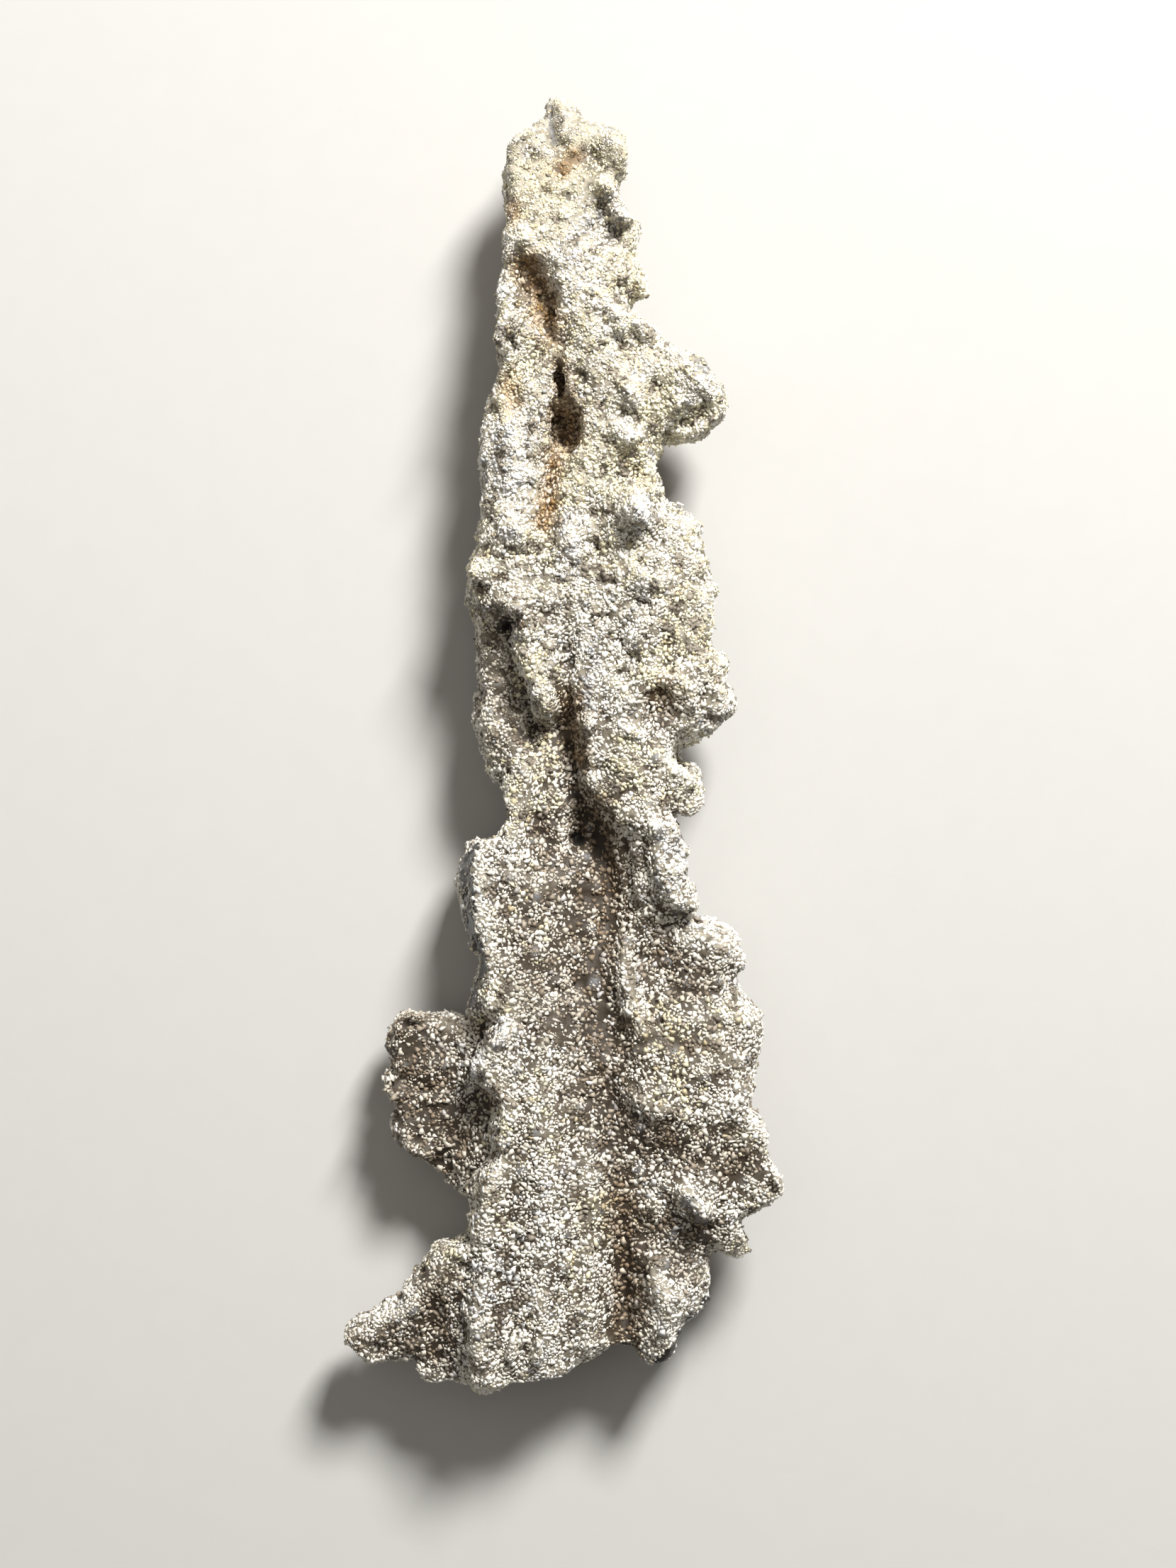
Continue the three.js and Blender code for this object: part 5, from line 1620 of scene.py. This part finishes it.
@dataclass
class SandCrust:
    """The sand grains stuck half melted into the body's skin."""

    body: FusedBody
    seed: int = 5
    tries: int = 800000
    most: int = 118000
    most_a_piece: int = 24000
    pieces: list[bpy.types.Object] = field(default_factory=list)

    # Sizes, and the room that each grain takes. Coarse grains settle first, but for luck.
    size: float = 0.278
    spread: float = 0.32
    size_limits: tuple[float, float] = (0.17, 0.65)
    upward: Ramp = Ramp(-8.0, 38.0)
    finer: float = 0.12
    tip: Ramp = Ramp(44, 10)
    finer_tip: float = 0.25
    coarser_deep: float = 0.35
    coarser_under: float = 1.5
    under_facing: float = -0.1
    finer_glass: float = 0.3
    packing: float = 0.62
    clumps: Layer = (1.3, 51.0, 0.16)
    # More room in smoky streaks and hollows and less on caps add painted shade and highlight.
    room: Blend = Blend(
        1.10, {"upward": -0.12, "smoke_and_shade": 0.08, "deep": 0.06, "cap": -0.08, "clumps": 1}, (0, 2)
    )
    luck: float = 0.4

    # Which grains are left out: more in smoky streaks as painted shade, fewer on caps as
    # highlight.
    missing: float = 0.05
    missing_in_smoke_and_shade: float = 0.18
    missing_glass: float = 0.4
    kept_on_highlight_caps: float = 0.8

    # Shapes.
    length: tuple[float, float] = (1.0, 1.45)
    width: tuple[float, float] = (0.85, 1.1)
    thickness: tuple[float, float] = (0.55, 0.95)
    broad_top: float = 1.3
    tilt: float = 0.3
    sunk: tuple[float, float] = (-0.05, 0.18)
    deeper_end: Ramp = Ramp(40, 15)
    deeper: float = 0.15
    chipping: float = 0.12
    most_chipped: float = 0.2

    # Kinds. Grains of a kind lie in small clusters.
    cream_rise: Ramp = Ramp(-4.0, 45.0)
    patches: Layer = (7.0, 41.0, 1)
    mottle: tuple[Layer, ...] = ((2.6, 23.0, 1), (1.1, 29.0, 0.7))
    cream: Blend = Blend(
        0.02, {"height": 0.40, "patches": 0.50, "warm": 0.9, "smoke_and_shade": -0.2}, (0, 0.9)
    )
    clear: Blend = Blend(0.08, {"patches": -0.25, "warm": -0.7, "glass": 0.5}, (0.02, 0.8))
    # Dusky grains gather in smoky streaks and hollows and shun caps: painted shade and highlight.
    dusky: Blend = Blend(
        0.07, {"smoke_and_shade": 0.30, "deep": 0.10, "mottle": -0.12, "glass": 0.15, "cap": -0.30}, (0, 0.8)
    )
    clusters: Layer = (1.2, 61.0, 3.4)
    cluster_noise: float = 0.53
    evenness: float = 1.7

    # Shades, stains and soot. Caps are paler as a painted highlight; smoky streaks and hollows
    # darker and browner as painted shade.
    shade: tuple[float, float] = (0.61, 0.22)
    shaded_top: Ramp = Ramp(42, 6)
    shading: Blend = Blend(
        0, {"mottle": 0.34, "top": -0.12, "cap": 0.3, "smoke_and_shade": -0.30, "glass": -0.4}
    )
    stain: tuple[float, float] = (0.3, 1.05)
    browning: Blend = Blend(0.02, {"smoke_and_shade": 0.11})
    deep_shade: float = 0.25
    light_smoke_and_shade: tuple[float, float] = (0, 0.35)
    heavy_smoke_and_shade: tuple[float, float] = (0.7, 1.15)
    heavy_smoke_and_shade_share: float = 0.45

    def build(self) -> list[bpy.types.Object]:
        """Places the grains and joins them, for each kind and each side of the body.

        Returns:
            The pieces.
        """
        self.rng = np.random.default_rng(self.seed)
        self._read_skin()
        self._scatter()
        self._colour_grains()
        for number, kind in enumerate(GrainKind):
            members = np.flatnonzero(self.kinds == number)
            front = members[self.facing[members] > 0]
            back = members[self.facing[members] <= 0]
            for side, group in (("upper", front), ("under", back)):
                self._join(kind, side, group)
        LOG.info("%d grains in %d pieces", len(self.sizes), len(self.pieces))
        return self.pieces

    def dress(self) -> None:
        """Gives each kind of grain its own finish."""
        finishes = {kind.value.name: kind.value.material() for kind in GrainKind}
        for piece in self.pieces:
            piece.data.materials.append(finishes[piece["finish"]])

    def _read_skin(self) -> None:
        """Reads the body's triangles, normals and markings as arrays."""
        mesh = self.body.piece.data
        mesh.calc_loop_triangles()
        self.triangles = listed(mesh.loop_triangles, "vertices", 3, np.int64)
        self.normals = self.body.skin.normals()
        self.skin_marks = {
            name: listed(mesh.attributes[name].data, "value", kind=np.float32)
            for name in CRUST_MARKS
        }

    def _scatter(self) -> None:
        """Throws places on the skin and keeps those that lie far enough apart."""
        points = self.body.skin.places
        a, b, c = (points[self.triangles[:, k]] for k in range(3))
        areas = np.linalg.norm(np.cross(b - a, c - a), axis=1)
        faces = self.rng.choice(len(areas), self.tries, p=areas / areas.sum())
        r, s = self.rng.random((2, self.tries))
        folded = r + s > 1
        r[folded], s[folded] = 1 - r[folded], 1 - s[folded]
        weights = np.column_stack([1 - r - s, r, s])
        corners = self.triangles[faces]

        def between(values: Array) -> Array:
            """A vertex value between the three corners of each throw's face."""
            return np.einsum("ij,ij...->i...", weights, values[corners])

        places = between(points)
        mark = {name: between(values) for name, values in self.skin_marks.items()}
        height = places[:, 1] / MM
        mark["upward"] = self.upward.over(height)
        mark["clumps"] = between(layered(points, (self.clumps,)))
        sizes = self.size * np.exp(self.spread * self.rng.standard_normal(self.tries))
        sizes *= 1 - self.finer * mark["upward"]
        sizes *= 1 - self.finer_tip * self.tip.over(height)
        sizes *= 1 + self.coarser_deep * mark["deep"]
        under = between(self.normals)[:, 2] < self.under_facing
        sizes *= np.where(under, self.coarser_under, 1)
        sizes *= 1 - self.finer_glass * mark["glass"]
        sizes = np.clip(sizes, *self.size_limits) * MM
        order = np.argsort(-sizes * self.rng.uniform(self.luck, 1, self.tries))
        kept = spaced(places, 0.5 * self.packing * self.room.of(mark) * sizes, order)
        bare = np.maximum(mark["bald"], self.missing_glass * mark["glass"])
        bare *= 1 - self.kept_on_highlight_caps * mark["cap"]
        bare += self.missing + self.missing_in_smoke_and_shade * mark["smoke_and_shade"]
        kept = kept[self.rng.random(len(kept)) > bare[kept]]
        if len(kept) > self.most:
            LOG.warning("%d grains cut to %d", len(kept), self.most)
            kept = np.sort(self.rng.choice(kept, self.most, replace=False))
        self.places = places[kept]
        normals = between(self.normals)[kept]
        self.upright = normals / np.linalg.norm(normals, axis=1, keepdims=True)
        self.facing = self.upright[:, 2]
        self.sizes = sizes[kept]
        self.marks = {name: values[kept] for name, values in mark.items()}

    def _colour_grains(self) -> None:
        """Works out every grain's kind, shade, stain and soot, with the markings' painted shade.
        """
        count = len(self.sizes)
        height = self.places[:, 1] / MM
        mark = self.marks
        mark["height"] = self.cream_rise.over(height)
        mark["top"] = self.shaded_top.over(height)
        mark["patches"] = layered(self.places, (self.patches,))
        mark["mottle"] = layered(self.places, self.mottle)
        cream, clear, dusky = (blend.of(mark) for blend in (self.cream, self.clear, self.dusky))
        drift = layered(self.places, (self.clusters,))
        drift = drift + self.cluster_noise * self.rng.standard_normal(count)
        draw = 1 / (1 + np.exp(-self.evenness * drift))
        kinds = list(GrainKind)
        self.kinds = np.full(count, kinds.index(GrainKind.QUARTZ))
        for limit, kind in (
            (dusky + cream + clear, GrainKind.CLEAR),
            (dusky + cream, GrainKind.CREAM),
            (dusky, GrainKind.DUSKY),
        ):
            self.kinds[draw < limit] = kinds.index(kind)
        shade = self.shading.of(mark, self.rng.normal(*self.shade, count))
        stain = self.browning.of(mark, mark["stain"] * self.rng.uniform(*self.stain, count))
        # Soot here is partly painted shade from hollows and smoky streaks.
        soot_and_shade = self.deep_shade * mark["deep"] * self.rng.random(count)
        light_smoke_and_shade, heavy_smoke_and_shade = self.rng.uniform(*self.light_smoke_and_shade, count), self.rng.uniform(*self.heavy_smoke_and_shade, count)
        sooted_and_shaded = self.rng.random(count) < self.heavy_smoke_and_shade_share
        soot_and_shade = np.clip(soot_and_shade + mark["smoke_and_shade"] * np.where(sooted_and_shaded, heavy_smoke_and_shade, light_smoke_and_shade), 0, 1)
        self.colours = np.column_stack([shade, stain, soot_and_shade, np.ones(count)])

    def _join(self, kind: GrainKind, side: str, group: Array) -> None:
        """Joins one group of grains into pieces under the triangle limit.

        Args:
            kind: The kind of grain.
            side: The side of the body that it is on.
            group: The grains' numbers.
        """
        parts = max(1, math.ceil(len(group) / self.most_a_piece))
        for part in range(parts):
            members = group[part::parts]
            if not len(members):
                continue
            suffix = "" if parts == 1 else f"_{'abcdef'[part]}"
            mesh = self._grain_mesh(members, f"{kind.value.name}s_{side}{suffix}")
            piece = put(mesh.name, mesh)
            piece["finish"] = kind.value.name
            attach(piece, BODY)
            self.pieces.append(piece)
            LOG.info("%s: %d grains", piece.name, len(members))

    def _blank(self) -> tuple[Array, Array]:
        """One plain eight-sided crystal that lies on a face, about 1 across.

        Returns:
            Its vertices and its triangles.
        """
        block = bmesh.new()
        bmesh.ops.create_uvsphere(block, u_segments=4, v_segments=2, radius=0.5)
        lain = Vector((1, 1, 1)).rotation_difference(Vector((0, 0, 1))).to_matrix()
        bmesh.ops.rotate(block, verts=block.verts, matrix=lain)
        top = [vertex for vertex in block.verts if vertex.co.z > 0]
        bmesh.ops.scale(block, verts=top, vec=(self.broad_top, self.broad_top, 1))
        block.verts.ensure_lookup_table()
        vertices = np.array([vertex.co[:] for vertex in block.verts])
        faces = np.array([[v.index for v in face.verts] for face in block.faces])
        block.free()
        return vertices, faces

    def _turns(self, upright: Array) -> Array:
        """Frames that stand nearly upright on the skin, each spun about at random.

        Args:
            upright: The skin's normal under each grain.

        Returns:
            For each grain, its long, short and upright directions.
        """
        lean = upright + self.tilt * self.rng.standard_normal(upright.shape)
        lean /= np.linalg.norm(lean, axis=1, keepdims=True)
        long = np.cross(lean, self.rng.standard_normal(upright.shape))
        long /= np.linalg.norm(long, axis=1, keepdims=True)
        return np.stack([long, np.cross(lean, long), lean], 1)

    def _grain_mesh(self, members: Array, name: str) -> bpy.types.Mesh:
        """Copies the blank once for each grain, chipped, squashed, turned and sunk in.

        Args:
            members: The grains' numbers.
            name: The mesh's name.

        Returns:
            The joined mesh, with the grain attribute and its map.
        """
        blank, faces = self._blank()
        count, corners = len(members), len(blank)
        chips = self.rng.normal(0, self.chipping, (count, corners, 3))
        squash = np.stack(
            [
                self.rng.uniform(*limits, count)
                for limits in (self.length, self.width, self.thickness)
            ],
            -1,
        )
        chips = np.clip(chips, -self.most_chipped, self.most_chipped)
        shapes = (blank[None] + chips) * squash[:, None]
        shapes = np.einsum("nki,nij->nkj", shapes, self._turns(self.upright[members]))
        sizes = self.sizes[members]
        deeper = self.deeper * self.deeper_end.over(self.places[members, 1] / MM)
        sunk = (self.rng.uniform(*self.sunk, count) + deeper) * sizes
        centres = self.places[members] - sunk[:, None] * self.upright[members]
        points = centres[:, None] + shapes * sizes[:, None, None]
        points[..., 2] = np.maximum(points[..., 2], 0)
        mesh = bpy.data.meshes.new(name)
        mesh.vertices.add(count * corners)
        mesh.vertices.foreach_set("co", points.ravel())
        triangles = (faces[None] + corners * np.arange(count)[:, None, None]).reshape(-1, 3)
        mesh.loops.add(triangles.size)
        mesh.loops.foreach_set("vertex_index", triangles.ravel())
        mesh.polygons.add(len(triangles))
        mesh.polygons.foreach_set("loop_start", 3 * np.arange(len(triangles)))
        mesh.update(calc_edges=True)
        colours = mesh.attributes.new("grain", "FLOAT_COLOR", "POINT")
        colours.data.foreach_set(
            "color", np.repeat(self.colours[members], corners, axis=0).ravel()
        )
        self._lay_out(mesh, count, len(faces))
        return mesh

    @staticmethod
    def _lay_out(mesh: bpy.types.Mesh, count: int, faces: int) -> None:
        """Gives each grain its own cell of the map, which all its faces share.

        Args:
            mesh: The joined grains.
            count: How many grains it has.
            faces: How many faces each has.
        """
        across = math.ceil(math.sqrt(count))
        cell = np.stack(np.divmod(np.arange(count), across), -1)
        flat = (cell[:, None, None] + np.array(MAP_CORNERS)[None, None]) / across
        flat = np.broadcast_to(flat, (count, faces, 3, 2))
        layer = mesh.uv_layers.new(name=MAP)
        layer.data.foreach_set("uv", flat.reshape(-1))


# --------------------------------------------------------------------------
# The studio
# --------------------------------------------------------------------------


@dataclass(frozen=True)
class SoftLight:
    """A square area light that points at the middle of the object."""

    name: str
    place: tuple[float, float, float]
    side: float
    watts: float
    colour: tuple[float, float, float] = (1.0, 1.0, 1.0)

    def build(self, target: Vector) -> None:
        """Hangs the light.

        Args:
            target: What it points at.
        """
        lamp = bpy.data.lights.new(self.name, "AREA")
        lamp.shape = "SQUARE"
        lamp.size = self.side
        lamp.energy = self.watts
        lamp.color = self.colour
        held = put(self.name, lamp)
        held.location = self.place
        held.rotation_euler = (target - Vector(self.place)).to_track_quat("-Z", "Y").to_euler()


@dataclass
class Studio:
    """A pale floor, two soft lights and a camera that looks straight down."""

    floor_side: float = 3.0
    floor: FloorFinish = FloorFinish()
    sky: Colour = (0.93, 0.88, 0.80, 1)
    sky_strength: float = 0.18
    lights: tuple[SoftLight, ...] = (
        SoftLight("key_light", (0.18, 0.37, 0.40), 0.15, 6.2, (1.0, 0.985, 0.945)),
        SoftLight("fill_light", (-0.20, 0.10, 0.60), 0.50, 0.40, (1.0, 0.96, 0.90)),
    )
    frame_height: float = 139.4
    frame_centre: tuple[float, float] = (2.30, -3.50)
    focus_height: float = 8.0
    lens: float = 80.0
    sensor: float = 36.0
    near: float = 0.01

    def build(self) -> None:
        """Lays the floor, lights it and sets the camera."""
        self._lay_floor()
        self._light()
        self._set_camera()

    def _lay_floor(self) -> None:
        """Lays the floor at the object's lowest point."""
        plane = bmesh.new()
        bmesh.ops.create_grid(plane, x_segments=2, y_segments=2, size=self.floor_side / 2)
        mesh = bpy.data.meshes.new("floor")
        plane.to_mesh(mesh)
        plane.free()
        mesh.materials.append(self.floor.material())
        put("floor", mesh)

    def _light(self) -> None:
        """Hangs the lights under an even pale sky."""
        world = bpy.data.worlds.new("studio")
        world.use_nodes = True
        backdrop = world.node_tree.nodes["Background"]
        backdrop.inputs["Color"].default_value = self.sky
        backdrop.inputs["Strength"].default_value = self.sky_strength
        bpy.context.scene.world = world
        bpy.context.scene.view_settings.view_transform = "Standard"
        for light in self.lights:
            light.build(Vector((0, 0, self.focus_height * MM)))

    def _set_camera(self) -> None:
        """Puts the camera over the object, with the tip to the top of the frame."""
        lens = bpy.data.cameras.new("camera")
        lens.lens = self.lens
        lens.sensor_width = self.sensor
        lens.clip_start = self.near
        camera = put("camera", lens)
        away = self.frame_height * self.lens / self.sensor + self.focus_height
        camera.location = (*metres(*self.frame_centre), away * MM)
        bpy.context.scene.camera = camera


def corners(box: Sequence[Vector]) -> list[list[float]]:
    """A box's two corners as plain lists."""
    return [list(corner) for corner in box]


def main() -> None:
    """Builds the body, its crust and the studio."""
    logging.basicConfig(level=logging.INFO, format="%(name)s: %(message)s")
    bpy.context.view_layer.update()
    body = FusedBody()
    piece = body.build()
    body.dress()
    LOG.info("%s: %d faces", piece.name, len(piece.data.polygons))
    crust = SandCrust(body)
    crust.build()
    crust.dress()
    Studio().build()


if __name__ == "__main__":
    main()
